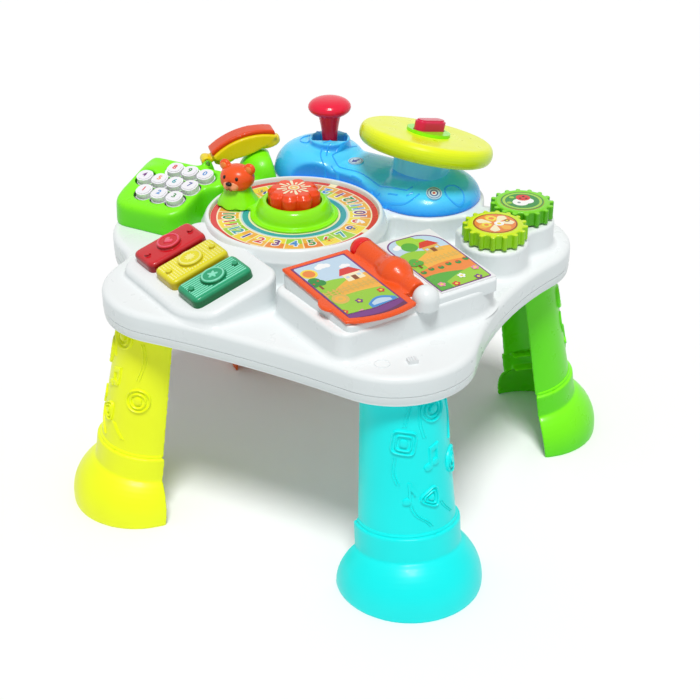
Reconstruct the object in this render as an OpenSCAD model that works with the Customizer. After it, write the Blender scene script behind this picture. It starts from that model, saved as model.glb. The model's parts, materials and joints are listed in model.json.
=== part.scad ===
// Musical activity table for toddlers: a hollow moulded top on four clip-on
// half-shell legs, with a turning dial, keys, phone, wheel, lever, gears and book.
// Z is up, the feet stand on Z = 0 and the origin is under the middle of the outline.
// Play pieces sit in an activity frame that is turned against the four legs.

// Piece to draw, or "all"

/* [Body] */
// Distance across two neighbouring lobes
body_w = 424; // [400:2:450]
// Radius of each corner lobe
lobe_r = 85; // [80:1:90]
// Depth of the hollow in the console side
dip_console = 12; // [8:1:20]
// Depth of the hollow in the phone side
dip_phone = 16; // [8:1:20]
// Depth of the hollow in the piano side
dip_piano = 6; // [5:0.5:8]
// Depth of the hollow in the book side
dip_book = 17; // [12:1:19]
// Radius of the extra lobe that carries the phone
bulge_r = 104; // [100:1:106]
// Distance of that lobe's centre from the middle
bulge_y = 180; // [176:1:182]
// Height of the underside above the floor
under_z = 228; // [222:1:240]
// Height of the base shell
base_h = 10; // [9:0.5:12]
// Height of the outer wall, base shell included
wall_h = 32; // [30:1:36]
// Height of the raised deck above the ledge
deck_h = 31; // [29:1:33]
// Wall thickness of the shells
wall = 2.6; // [2.2:0.1:3]
// Inset of the base shell under the top shell
base_inset = 1.2; // [0.6:0.1:2]

/* [Legs] */
// Distance of each leg axis from the middle at the underside
leg_top_r = 205; // [200:1:208]
// Distance of each leg axis from the middle at the floor
leg_foot_r = 240; // [230:1:244]
// Outer radius of a leg at its top
leg_r_top = 43; // [40:0.5:44]
// Outer radius of a leg above the collar
leg_r_low = 51; // [49:0.5:53]
// Outer radius of the collar
collar_r = 55.5; // [54.5:0.5:58]
// Height of the lower edge of the collar
collar_z = 48; // [44:1:54]
// Height of the collar
collar_h = 26; // [20:1:30]
// Outer radius of the foot at the floor
foot_r = 77; // [74:1:79]
// Wall of a leg
leg_wall = 3; // [2.6:0.1:3.4]
// Half angle of the C section
leg_open = 100; // [95:1:110]
// Radius of the plug on top of a leg
plug_r = 33; // [30:0.5:34]
// Height of the plug
plug_h = 20; // [16:0.5:21]

/* [Dial] */
// Outer radius of the dial rim
dial_r = 98; // [95:0.5:100]
// Height of the rim above the deck
dial_rim_h = 10; // [8:0.5:12]
// Width of the rim
dial_rim_w = 4.5; // [3.5:0.5:6]
// Outer radius of the turning ring
ring_r = 49; // [47.5:0.5:54]
// Rise of the turning ring towards its hole
dome_h = 18; // [14:0.5:20]
// Radius of the bear seat
seat_r = 21.5; // [20:0.25:21.75]
// Distance of the bear from the dial centre
bear_d = 71; // [68:0.5:71.5]
// Direction of the bear at rest, in degrees
bear_a = 120; // [0:5:355]
// Radius of the bear head
head_r = 18; // [17:0.5:18.5]
// Radius over the petals of the centre button
button_r = 29.5; // [28:0.25:30]
// Height of the centre button
button_h = 26; // [23:0.5:29]
// Travel of the centre button
button_travel = 3; // [2:0.25:3.2]

/* [Piano] */
// Length of a piano key
pkey_l = 72; // [68:1:74]
// Width of a piano key
pkey_w = 42; // [38:0.5:43]
// Distance between piano keys
pkey_pitch = 48; // [47.5:0.25:50]
// Height of a piano key above its deck
pkey_h = 11; // [9:0.5:13]
// Travel of a piano key
pkey_travel = 3; // [2:0.25:3.2]
// Slope of the piano deck
piano_tilt = 15.5; // [12:0.5:17]

/* [Phone] */
// Height of the phone base above the ledge, at the middle of its key deck
phone_h = 40; // [38:0.5:42]
// Slope of the key deck
phone_tilt = 15; // [12:0.5:16]
// Length of a phone key across the slope
fkey_l = 18.75; // [18:0.25:19.25]
// Width of a phone key along the slope
fkey_w = 19.5; // [18:0.5:20]
// Distance between phone keys in one row
fkey_pitch = 20.5; // [20.25:0.25:21]
// Distance between the rows
frow_pitch = 23.5; // [22.5:0.25:24.5]
// Travel of a phone key
fkey_travel = 2; // [1.5:0.25:2.2]
// Length of the handset from its hinge
handset_l = 92; // [86:1:96]
// Width of the handset
handset_w = 28; // [26:0.5:30]
// Rise angle of the handset at rest
handset_rise = 15; // [14:0.5:17]

/* [Console] */
// Height of the lever dome above the deck
dome_a_h = 36; // [32:1:38]
// Height of the wheel dome above the deck
dome_b_h = 28; // [26:1:30]
// Radius of the lever dome
dome_a_r = 56; // [54:0.5:57]
// Radius of the wheel dome
dome_b_r = 62; // [60:0.5:63]
// Radius of the steering wheel
wheel_r = 77; // [72:1:80]
// Thickness of the steering wheel
wheel_t = 22; // [20:0.5:24]
// Tilt of the steering wheel
wheel_tilt = 15; // [13:0.5:17]
// Travel of the horn button
horn_travel = 2.5; // [1.5:0.25:2.75]
// Radius of the lever knob
knob_r = 25; // [22:0.5:27]
// Length of the lever from its pivot to the top of the knob
lever_l = 78; // [74:1:82]

/* [Gears] */
// Radius of the gear body
gear_r = 30.5; // [29.5:0.25:31]
// Radius of one tooth
tooth_r = 2.9; // [2.5:0.1:3]
// Distance between the gear axles
gear_d = 67; // [66.8:0.1:68]
// Thickness of a gear
gear_t = 17; // [14:0.5:19]
// Radius of a gear axle
axle_r = 5; // [4:0.25:6]

/* [Book] */
// Width of a page
page_w = 80; // [74:1:84]
// Length of a page
page_l = 116; // [110:1:118]
// Bulge of the near edge of the turning page
page_bulge = 12; // [8:1:14]
// Thickness of the turning page
page_t = 4; // [3:0.25:4.5]
// Radius of the round head on the spine
spine_r = 18.5; // [17:0.25:19]
// Height of the hinge above the deck
hinge_h = 15; // [14.5:0.25:17]
// Fall of the book towards the table edge
book_tilt = 4; // [3:0.5:5]

/* [Fits] */
// Radial clearance of a turning or sliding pin
run = 0.06; // [0.03:0.01:0.1]
// Gap around pieces that move in a window
gap = 0.5; // [0.4:0.05:0.6]
// Gap between assembled pieces
fit = 0.1; // [0.05:0.05:0.2]

/* [Hidden] */
$fn = 64;
act_yaw = 28;
mid_y = 19.6;
ledge_z = under_z + wall_h;
deck_z = ledge_z + deck_h;
part_z = under_z + base_h;
lobe_c = body_w / 2 - lobe_r;
dips = [dip_console, dip_phone, dip_piano, dip_book];
leg_lean = atan2(leg_foot_r - leg_top_r, under_z);
teeth = 16;
gear_label_r = gear_r - 6.5;
gear_pad_r = gear_d / 2 + 3.5;
bulge_c = (page_w + 14) / 2;
bulge_arc = (bulge_c * bulge_c + page_bulge * page_bulge) / (2 * page_bulge);
dial_p = [-25, 58];
piano_p = [-168, 30];
piano_z = deck_z - 8;
book_p = [-27, -129];
gear_p = [63, -152.5];
gear_a = -3;
phone_p = [5, 228];
phone_z = ledge_z + phone_h;
hinge_p = [58, 212];
hinge_z = phone_z + 13;
lever_p = [144, 94];
dome_a_p = [143, 105];
dome_b_p = [133, -38];
wheel_p = [143, -31];
wheel_yaw = -21;
switch_r = 236;
hub_r = 24;
head_z = 21.5;
stem_r = 8;
lever_z = deck_z + 12;
wheel_z = deck_z + 59.5;
pin_r = 2.5;
dome_gap = 0.4;
badges = [[130, 52, 24.6, 176, 4], [96, -64, 22.2, -145, 26]];
key_rows = [[-1, 19, 3], [0, 33, 4], [1, 6, 3]];

function on(c, r, t) = [c[0] + r * cos(t), c[1] + r * sin(t)];
function turn(p, t) = [p[0] * cos(t) - p[1] * sin(t), p[0] * sin(t) + p[1] * cos(t)];
function dip_k(k) = body_w / 2 - dips[k] - lobe_c;
function dip_r(k) = (lobe_c * lobe_c + dip_k(k) * dip_k(k) - lobe_r * lobe_r) / (2 * (lobe_r - dip_k(k)));
function dip_c(k) = dip_r(k) + body_w / 2 - dips[k];
function dip_a(k) = atan2(lobe_c, dip_c(k) - lobe_c);
function lobe_arc(k, d) = [for (i = [0:30]) on([lobe_c, lobe_c], lobe_r - d,
    -dip_a(k) + i * (90 + dip_a(k) + dip_a((k + 1) % 4)) / 30)];
function dip_arc(k, d) = [for (i = [1:9]) on([0, dip_c(k)], dip_r(k) + d, dip_a(k) - 90 - i * dip_a(k) / 5)];
function body_pts(d) = [for (k = [0:3]) each
    [for (p = concat(lobe_arc(k, d), dip_arc((k + 1) % 4, d))) turn(p, 90 * k)]];
function dome_pts(r, h, d) = concat([[0, 0]], [for (i = [0:14]) [(r - d) * pow(cos(i * 6.25), 0.7),
    (h - d) * sin(i * 90 / 14)]], [[0, h - d]]);

// Frames
module place() {
    translate([0, -mid_y, 0]) children();
}
module act() {
    rotate([0, 0, -act_yaw]) children();
}
module at_dial() {
    act() translate([dial_p[0], dial_p[1], deck_z]) children();
}
module at_piano() {
    act() translate([piano_p[0], piano_p[1], piano_z]) rotate([0, -piano_tilt, 0]) children();
}
module at_book() {
    act() translate([book_p[0], book_p[1], deck_z + hinge_h]) rotate([book_tilt, 0, 0]) children();
}
module at_phone() {
    translate([phone_p[0], phone_p[1], phone_z]) rotate([0, -phone_tilt, 0]) children();
}
module at_handset() {
    translate([hinge_p[0], hinge_p[1], hinge_z]) rotate([0, 0, -46]) rotate([0, -handset_rise, 0]) children();
}
module at_wheel() {
    translate([wheel_p[0], wheel_p[1], wheel_z]) rotate([0, 0, wheel_yaw]) rotate([0, wheel_tilt, 0])
        children();
}
module at_lever() {
    translate([lever_p[0], lever_p[1], lever_z]) rotate([0, 0, -66]) children();
}
module at_switch() {
    rotate([0, 0, -135]) translate([switch_r, 0, ledge_z]) children();
}
module at_gear(k) {
    translate([gear_p[0], gear_p[1], deck_z]) rotate([0, 0, gear_a]) translate([k * gear_d, 0, 0]) children();
}
module at_leg(k) {
    rotate([0, 0, 45 + 90 * k]) translate([leg_foot_r, 0, 0]) rotate([0, -leg_lean, 0]) children();
}

// Flat shapes
module body_2d(d) {
    polygon(body_pts(d));
    translate([0, bulge_y]) circle(bulge_r - d, $fn = 96);
}
module round_rect(w, h, r) {
    square([w, h - 2 * r], center = true);
    square([w - 2 * r, h], center = true);
    for (x = [-1, 1], y = [-1, 1]) translate([x * (w / 2 - r), y * (h / 2 - r)]) circle(r, $fn = 32);
}
module petals_2d(r, n, p) {
    circle(r - p * 0.85);
    for (i = [0:n - 1]) rotate(i * 360 / n) translate([r - p, 0]) circle(p, $fn = 32);
}
module gear_2d() {
    circle(gear_r, $fn = 64);
    for (i = [0:teeth - 1]) rotate(i * 360 / teeth) translate([gear_d / 2 - 1, 0]) circle(tooth_r, $fn = 20);
}
module page_2d(w, d) {
    translate([-w - 14 + d, -page_l / 2 + d]) square([w + 14 - 2 * d, page_l - 2 * d]);
}
module turning_page_2d(d) {
    page_2d(page_w, d);
    intersection() {
        translate([-bulge_c, bulge_arc - page_bulge - page_l / 2]) circle(bulge_arc - d, $fn = 160);
        translate([-2 * bulge_c + d, -page_l]) square([2 * bulge_c - 2 * d, page_l]);
    }
}

// Body
module plat_2d(d) {
    intersection() {
        union() {
            rotate(-act_yaw) {
                translate(dial_p) circle(dial_r + 6 - d, $fn = 96);
                translate([book_p[0], book_p[1] + 1])
                    round_rect(2 * page_w + 46 - 2 * d, page_l + 12 - 2 * d, 12 - d);
            }
            translate(dome_a_p) circle(dome_a_r + 4 - d);
            translate(dome_b_p) circle(dome_b_r + 4 - d);
            translate(dome_b_p) rotate(86)
                translate([0, -44 + d]) square([142, 88 - 2 * d]);
            translate(gear_p) rotate(gear_a) {
                for (k = [0, 1]) translate([k * gear_d, 0]) circle(gear_pad_r - d);
                translate([0, -20 + d]) square([gear_d, 70 - 2 * d]);
            }
        }
        body_2d(6 + d);
    }
}
module piano_block(d) {
    intersection() {
        translate([0, 0, ledge_z - 6]) linear_extrude(60) intersection() {
            rotate(-act_yaw) translate([piano_p[0] + 3, piano_p[1] - 5])
                round_rect(106 - 2 * d, 3 * pkey_pitch + 24 - 2 * d, 20 - d);
            body_2d(5 + d);
        }
        at_piano() translate([-80, -100, -80 - d]) cube([160, 200, 80]);
    }
}
module leg_solid(k, r, z0, z1) {
    intersection() {
        at_leg(k) translate([0, 0, z0]) cylinder(r = r, h = z1 - z0);
        at_leg(k) translate([-3, -80, z0 - 1]) cube([120, 160, z1 - z0 + 2]);
    }
}
module case_posts() {
    for (k = [0:3]) rotate([0, 0, 45 + 90 * k]) {
        translate([100, 0, 0]) children();
        rotate([0, 0, 45]) translate([168, 0, 0]) children();
    }
}
module outer_solid() {
    translate([0, 0, part_z]) linear_extrude(wall_h - base_h) body_2d(0);
    translate([0, 0, ledge_z - 1]) linear_extrude(deck_h + 1) plat_2d(0);
    piano_block(0);
    at_dial() cylinder(r = dial_r, h = dial_rim_h, $fn = 128);
}
module top_shell() {
    color("white") place() difference() {
        union() {
            difference() {
                outer_solid();
                translate([0, 0, part_z - 1]) linear_extrude(wall_h - base_h - wall + 1) body_2d(wall);
                translate([0, 0, ledge_z - wall - 1]) linear_extrude(deck_h + 1) plat_2d(wall);
                piano_block(wall);
                at_dial() translate([0, 0, 4]) cylinder(r = dial_r - dial_rim_w, h = 20, $fn = 128);
                at_dial() translate([0, 0, -6]) cylinder(r = dial_r - dial_rim_w - 1, h = 7, $fn = 128);
            }
            at_dial() translate([0, 0, -wall]) cylinder(r = hub_r, h = 9.5);
            at_dial() translate([0, 0, -20]) cylinder(r = stem_r + 3, h = 22);
            intersection() {
                case_posts() translate([0, 0, part_z + fit])
                    cylinder(r = 5, h = deck_z + 2 - part_z, $fn = 24);
                outer_solid();
            }
            book_pads();
            for (k = [0, 1]) at_gear(k) translate([0, 0, -1]) cylinder(r = 8, h = 2.5);
            at_switch() translate([-9, -19, -1]) cube([18, 38, 2.2]);
        }
        at_dial() translate([0, 0, 2.4]) cylinder(r = hub_r - 2.6, h = 10);
        at_dial() translate([0, 0, -30]) cylinder(r = stem_r + run, h = 50);
        piano_windows();
        case_posts() translate([0, 0, part_z - 1]) cylinder(r = 1.4, h = 12, $fn = 16);
        for (k = [0, 1]) at_gear(k) translate([0, 0, -10]) cylinder(r = axle_r - 1 + fit, h = 20);
        at_switch() translate([-4 - gap, -10.5, -8]) cube([8 + 2 * gap, 21, 12]);
        at_wheel() translate([0, 0, -90]) cylinder(r = 19, h = 50);
        for (k = [0:3]) leg_solid(k, plug_r + 1.5, under_z, under_z + base_h + plug_h);
        handset_window();
        intersection() {
            at_book() translate([0, -27, 0]) rotate([-90, 0, 0]) cylinder(r = spine_r + 1.2, h = 42);
            translate([-400, -400, deck_z - 8]) cube([800, 800, 40]);
        }
    }
}
module handset_window() {
    translate([phone_p[0], phone_p[1] - 4, ledge_z - 8]) cylinder(r = 22, h = 12);
}
module book_pads() {
    intersection() {
        at_book() difference() {
            translate([-page_w - 20, -page_l / 2 - 3, -30])
                cube([2 * page_w + 40, page_l + 6, 28 - page_t / 2]);
            rotate([90, 0, 0]) cylinder(r = spine_r + 1.2, h = page_l + 20, center = true);
        }
        translate([0, 0, deck_z - 1]) linear_extrude(40) rotate(-act_yaw)
            translate(book_p) round_rect(2 * page_w + 24, page_l + 4, 8);
    }
}
module piano_windows() {
    at_piano() for (k = [-1:1]) translate([0, k * pkey_pitch, -20]) linear_extrude(40)
        round_rect(pkey_l + 2 * gap, pkey_w + 2 * gap, 6);
}
module base_shell() {
    color("white") place() difference() {
        union() {
            difference() {
                translate([0, 0, under_z]) linear_extrude(base_h - fit) body_2d(base_inset);
                translate([0, 0, under_z + wall]) linear_extrude(base_h) body_2d(base_inset + wall);
            }
            case_posts() translate([0, 0, under_z]) cylinder(r = 5, h = base_h - fit, $fn = 24);
            for (k = [0:3]) intersection() {
                leg_solid(k, plug_r + 3, under_z - 3, under_z + base_h + plug_h - 3);
                translate([0, 0, under_z]) linear_extrude(base_h - fit) body_2d(base_inset + 0.5);
            }
            translate([-62, -44, under_z]) cube([124, 88, base_h + 12]);
            translate([-70, -52, under_z]) cube([140, 104, 5]);
        }
        for (k = [0:3]) leg_solid(k, plug_r + fit, under_z - 5, under_z + base_h + plug_h + 5);
        case_posts() {
            translate([0, 0, under_z - 1]) cylinder(r = 1.8, h = base_h + 4, $fn = 16);
            translate([0, 0, under_z - 1]) cylinder(r = 3.6, h = 5, $fn = 24);
        }
        translate([-58, -40, under_z - 1]) cube([116, 80, base_h + 11]);
        translate([-66.2, -48.2, under_z - 1]) cube([132.4, 96.4, 3.3]);
        translate([61, 0, under_z - 1]) cylinder(r = 1.3, h = 10, $fn = 16);
        for (i = [1:5], a = [0:60:300]) translate([-110, 0, under_z - 1]) rotate([0, 0, a + i * 30])
            translate([i * 4.6, 0, 0]) cylinder(r = 1.4, h = 6, $fn = 16);
    }
}
module battery_door() {
    color("white") place() difference() {
        translate([-66, -48, under_z]) cube([132, 96, 2.2]);
        translate([61, 0, under_z - 1]) cylinder(r = 1.9, h = 6, $fn = 16);
        for (i = [-3:3]) translate([-56, i * 6 - 1, under_z - 1]) cube([12, 2, 1.8]);
    }
}
module screw(l) {
    cylinder(r = 3, h = 1.8, $fn = 24);
    cylinder(r = 1.25, h = l, $fn = 16);
}
module battery_door_screw() {
    color("silver") place() translate([61, 0, under_z - 1.9]) difference() {
        screw(8);
        translate([-2.2, -0.4, -1]) cube([4.4, 0.8, 1.8]);
    }
}
module case_screws() {
    color("silver") place() case_posts() translate([0, 0, under_z + 2.2]) difference() {
        screw(16);
        translate([-2.2, -0.4, -1]) cube([4.4, 0.8, 1.8]);
    }
}
module batteries() {
    color("darkgray") place() for (k = [-1:1]) translate([-25, k * 18, under_z + 10.2]) rotate([0, 90, 0]) {
        cylinder(r = 7, h = 48, $fn = 32);
        translate([0, 0, 48]) cylinder(r = 2.6, h = 1.4, $fn = 20);
    }
}
module battery_contacts() {
    color("silver") place() for (x = [-29, 27.5]) translate([x, -26, under_z + 3.5]) cube([0.8, 52, 12.4]);
}
module circuit_board() {
    color("seagreen") place() difference() {
        translate([-60, 55, under_z + wall + fit]) cube([110, 70, 1.6]);
        for (x = [-54, 44], y = [61, 119]) translate([x, y, under_z]) cylinder(r = 1.6, h = 12, $fn = 16);
    }
}
module speaker() {
    color("dimgray") place() translate([-110, 0, under_z + wall + fit]) {
        cylinder(r = 27, h = 3);
        cylinder(r1 = 24, r2 = 13, h = 10);
        cylinder(r = 13, h = 15);
    }
}

// Legs
function bell(t) = collar_r - 1.5 + (foot_r - collar_r + 1.5) * sin(122 * pow(t, 0.8));
function leg_pts(d) = concat(
    [for (i = [0:12]) [bell(1 - i / 12) - d, -16 + i * (collar_z + 16) / 12]],
    [[collar_r - d, collar_z], [collar_r - d, collar_z + collar_h],
     [leg_r_low - d, collar_z + collar_h + 0.5], [leg_r_top - d, under_z - 4]]);
module leg(k, tint) {
    color(tint) place() intersection() {
        difference() {
            union() {
                at_leg(k) rotate([0, 0, -leg_open]) rotate_extrude(angle = 2 * leg_open, $fn = 96)
                    difference() {
                        polygon(concat(leg_pts(0), [[0, under_z - 4], [0, -16]]));
                        polygon(concat(leg_pts(leg_wall), [[0, under_z - 4], [0, -16]]));
                    }
                leg_solid(k, leg_r_top - 0.5, under_z - 8, under_z - 4);
                difference() {
                    leg_solid(k, plug_r, under_z - 6, under_z + plug_h);
                    intersection() {
                        at_leg(k) translate([0, 0, under_z - 10]) cylinder(r = plug_r - leg_wall, h = 40);
                        at_leg(k) translate([0, -80, under_z - 4]) cube([120, 160, 40]);
                    }
                }
                for (p = [[collar_z + 2, collar_r - 1.5], [collar_z + collar_h - 5, collar_r - 1.5],
                    [150, (leg_r_top + leg_r_low) / 2 - 1.5]]) intersection() {
                    at_leg(k) translate([0, 0, p[0]]) difference() {
                        cylinder(r = p[1], h = 2.4);
                        translate([0, 0, -1]) cylinder(r = p[1] - 13, h = 5);
                    }
                    at_leg(k) translate([2, -80, 0]) cube([120, 160, 400]);
                }
                for (s = [-1, 1]) at_leg(k) translate([18, s * 20, under_z - 26])
                    cylinder(r = 4, h = 20, $fn = 24);
            }
            for (s = [-1, 1]) at_leg(k) translate([18, s * 20, under_z - 30])
                cylinder(r = 1.5, h = 16, $fn = 16);
        }
        cylinder(r = 400, h = 300);
    }
}
module leg_orange() {
    leg(0, "orangered");
}
module leg_yellow() {
    leg(1, "yellow");
}
module leg_teal() {
    leg(2, "turquoise");
}
module leg_green() {
    leg(3, "lawngreen");
}

// Dial
module dial_label() {
    color("moccasin") place() at_dial() translate([0, 0, 4]) difference() {
        cylinder(r = dial_r - dial_rim_w - 0.4, h = 1.2, $fn = 128);
        translate([0, 0, -1]) cylinder(r = ring_r - 14, h = 4);
    }
}
module bear_ring() {
    color("limegreen") place() at_dial() difference() {
        union() {
            translate([0, 0, 5.6]) cylinder(r = ring_r, h = 2.5);
            translate([0, 0, 5.6]) rotate_extrude($fn = 96) polygon(concat([[0, 0]],
                [for (i = [0:8]) [ring_r - 6.5 - (ring_r - 39.5) * (1 - cos(i * 11.25)),
                    1 + dome_h * sin(i * 11.25)]],
                [[0, 1 + dome_h]]));
            rotate([0, 0, bear_a]) {
                translate([bear_d, 0, 5.6]) cylinder(r = seat_r, h = 14);
                translate([bear_d, 0, 19.6]) cylinder(r1 = seat_r, r2 = seat_r - 6, h = 6);
                translate([30, -14, 5.6]) cube([bear_d - 30, 28, 4.5]);
            }
        }
        translate([0, 0, 5]) cylinder(r = hub_r + run, h = 10);
        translate([0, 0, 8.6]) cylinder(r = button_r + gap + 0.4, h = 40);
        rotate([0, 0, bear_a]) translate([bear_d, 0, 20]) cylinder(r = 9 + fit, h = 10);
    }
}
module bear_head() {
    color("tomato") place() at_dial() rotate([0, 0, bear_a]) translate([bear_d, 0, 20 + fit])
    rotate([0, 0, 90]) {
        difference() {
            union() {
                cylinder(r = 9, h = 12, $fn = 48);
                translate([0, 0, 6]) cylinder(r1 = 12, r2 = 14, h = 7, $fn = 48);
                translate([0, 0, head_z]) sphere(r = head_r, $fn = 48);
                for (s = [-1, 1]) translate([0, s * 14, head_z + 12]) rotate([0, 90, 0])
                    cylinder(r = 6.5, h = 7, center = true, $fn = 32);
            }
            translate([head_r - 4, 0, head_z - 3.5]) rotate([0, 90, 0]) cylinder(r = 9 + fit, h = 12, $fn = 32);
            for (s = [-1, 1]) translate([head_r - 6, s * 7, head_z + 6]) rotate([0, 90, 0])
                cylinder(r = 2.2, h = 12, $fn = 20);
        }
    }
}
module bear_muzzle() {
    color("pink") place() at_dial() rotate([0, 0, bear_a]) translate([bear_d, 0, 20 + fit]) rotate([0, 0, 90])
        translate([head_r - 4 + fit, 0, head_z - 3.5]) rotate([0, 90, 0]) {
            cylinder(r = 9, h = 3, $fn = 32);
            translate([0, 0, 3]) cylinder(r1 = 9, r2 = 6, h = 3, $fn = 32);
        }
}
module center_button() {
    color("orangered") place() at_dial() translate([0, 0, 12]) {
        linear_extrude(button_h - 4) petals_2d(button_r, 8, 9);
        linear_extrude(button_h - 2) petals_2d(button_r - 2, 8, 8);
        linear_extrude(button_h) petals_2d(button_r - 4, 8, 7);
        translate([0, 0, -40]) cylinder(r = stem_r, h = 41);
    }
}

// Piano
module piano_key(k, tint) {
    color(tint) place() at_piano() translate([0, k * pkey_pitch, 0]) {
        translate([0, 0, -wall - 3.6]) linear_extrude(3.2) round_rect(pkey_l + 4, pkey_w + 3, 5);
        translate([0, 0, -wall - 1]) linear_extrude(pkey_h + wall - 2) round_rect(pkey_l, pkey_w, 5.5);
        linear_extrude(pkey_h - 1.5) round_rect(pkey_l - 4, pkey_w - 4, 4);
        linear_extrude(pkey_h) round_rect(pkey_l - 8, pkey_w - 8, 3);
        cylinder(r = 13, h = pkey_h + 2, $fn = 48);
        for (s = [-1, 1]) translate([s * (pkey_l / 2 - 9), 0, 0]) cylinder(r = 3, h = pkey_h + 1.5, $fn = 24);
    }
}
module piano_key_red() {
    piano_key(1, "crimson");
}
module piano_key_yellow() {
    piano_key(0, "gold");
}
module piano_key_green() {
    piano_key(-1, "mediumseagreen");
}
module key_contact_mat() {
    color("gainsboro") place() at_piano() {
        translate([-26, -1.2 * pkey_pitch, -wall - 8.6 - pkey_travel]) cube([52, 2.4 * pkey_pitch, 1.5]);
        for (k = [-1:1]) translate([0, k * pkey_pitch, -wall - 7.6 - pkey_travel])
            cylinder(r1 = 9, r2 = 6, h = 4 - dome_gap, $fn = 32);
    }
}

// Phone
module phone_plan(d) {
    translate([phone_p[0] + 1, phone_p[1] + 5]) round_rect(104 - 2 * d, 94 - 2 * d, 24 - d);
    translate([48, 190]) circle(36 - d);
    translate([92, 160]) circle(36 - d);
    translate([66, 178]) rotate(-38) square([56, 62 - 2 * d], center = true);
}
module phone_block(d) {
    intersection() {
        translate([0, 0, ledge_z + fit]) linear_extrude(90) difference() {
            phone_plan(d);
            rotate(-act_yaw) translate(dial_p) circle(dial_r + 6.6 + d, $fn = 96);
            translate(dome_a_p) circle(dome_a_r + 5 + d);
        }
        union() {
            at_phone() translate([-80, -80, -90 - d]) cube([123, 160, 90]);
            translate([44, 130, ledge_z - 5]) cube([100, 110, phone_h - 2 - d]);
        }
    }
}
module phone_base() {
    color("lawngreen") place() difference() {
        union() {
            difference() {
                phone_block(0);
                difference() {
                    phone_block(wall);
                    translate([-100, 100, ledge_z - 1]) cube([300, 200, wall + 1]);
                }
            }
            translate([99, 160, ledge_z + phone_h - 9]) intersection() {
                sphere(r = 30);
                translate([-40, -40, 0]) cube([80, 80, 40]);
            }
            at_handset() for (s = [-1, 1]) hinge_lug(s);
            translate([24, 262, phone_z + 1]) cylinder(r = 9, h = 8, $fn = 32);
        }
        phone_keys_at() translate([0, 0, -wall - 2]) linear_extrude(wall + 20) key_oval(gap);
        at_handset() rotate([90, 0, 0]) cylinder(r = pin_r + fit, h = 60, center = true, $fn = 32);
        translate([dome_a_p[0], dome_a_p[1], ledge_z - 1]) cylinder(r = dome_a_r + 5, h = 100);
    }
}
module hinge_lug(s) {
    translate([-7, s * (handset_w / 2 - 3) - 2.5, -26]) cube([14, 5, 26]);
    translate([0, s * (handset_w / 2 - 3) + 2.5, 0]) rotate([90, 0, 0]) cylinder(r = 7, h = 5, $fn = 32);
}
module key_oval(d) {
    round_rect(fkey_w + 2 * d, fkey_l + 2 * d, fkey_l / 2 + d - 0.8);
}
module fkey_at(n) {
    i = n < 3 ? 0 : (n < 7 ? 1 : 2);
    j = n < 3 ? n : (n < 7 ? n - 3 : n - 7);
    row = key_rows[i];
    at_phone() translate([row[0] * frow_pitch, row[1] - j * fkey_pitch, 0]) children();
}
module phone_keys_at() {
    for (n = [0:9]) fkey_at(n) children();
}
module phone_key(n) {
    color("white") place() fkey_at(n) {
        translate([0, 0, -wall - 2.4]) linear_extrude(2) intersection() {
            key_oval(0.8);
            square([40, fkey_l + 1], center = true);
        }
        translate([0, 0, -wall - 1]) linear_extrude(wall + 5) key_oval(0);
        linear_extrude(5.2) key_oval(-1.5);
    }
}
module phone_contact_mat() {
    color("gainsboro") place() at_phone() {
        translate([-34, -33, -wall - 8.6]) cube([47, 72, 1.4]);
        translate([12, -39, -wall - 8.6]) cube([22, 56, 1.4]);
        for (n = [0:9]) {
            i = n < 3 ? 0 : (n < 7 ? 1 : 2);
            j = n < 3 ? n : (n < 7 ? n - 3 : n - 7);
            translate([key_rows[i][0] * frow_pitch, key_rows[i][1] - j * fkey_pitch, -wall - 8])
                cylinder(r1 = 5, r2 = 3, h = 3.6 - dome_gap, $fn = 24);
        }
    }
}
module handset_side() {
    intersection() {
        translate([handset_l / 2, 14 - 82]) circle(82, $fn = 160);
        translate([handset_l / 2, 90 - 8]) circle(90, $fn = 160);
        translate([9, -40]) square([handset_l - 11, 80]);
    }
}
module handset_shell() {
    color("yellow") place() at_handset() difference() {
        union() {
            translate([0, handset_w / 2, 0]) rotate([90, 0, 0]) linear_extrude(handset_w) handset_side();
            rotate([90, 0, 0]) cylinder(r = 6, h = handset_w - 12, center = true, $fn = 32);
            translate([0, -handset_w / 2 + 6.2, -3]) cube([16, handset_w - 12.4, 6]);
            for (x = [22, handset_l - 15]) translate([x, 0, -9]) cylinder(r = 13.5, h = 8, $fn = 48);
        }
        rotate([90, 0, 0]) cylinder(r = pin_r + run, h = 60, center = true, $fn = 32);
        for (x = [22, handset_l - 15]) translate([x, 0, -10]) cylinder(r = 10.5, h = 3, $fn = 48);
    }
}
module handset_back() {
    color("orangered") place() at_handset() translate([0, handset_w / 2 - 3, 0]) rotate([90, 0, 0])
        linear_extrude(handset_w - 6) intersection() {
            difference() {
                translate([handset_l / 2, -82 + 14]) circle(82 + 5, $fn = 160);
                translate([handset_l / 2, -82 + 14]) circle(82 + fit, $fn = 160);
            }
            translate([8, -40]) square([handset_l - 14, 80]);
        }
}
module handset_hinge_pin() {
    color("silver") place() at_handset() rotate([90, 0, 0])
        cylinder(r = pin_r, h = handset_w - 1, center = true, $fn = 32);
}

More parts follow.
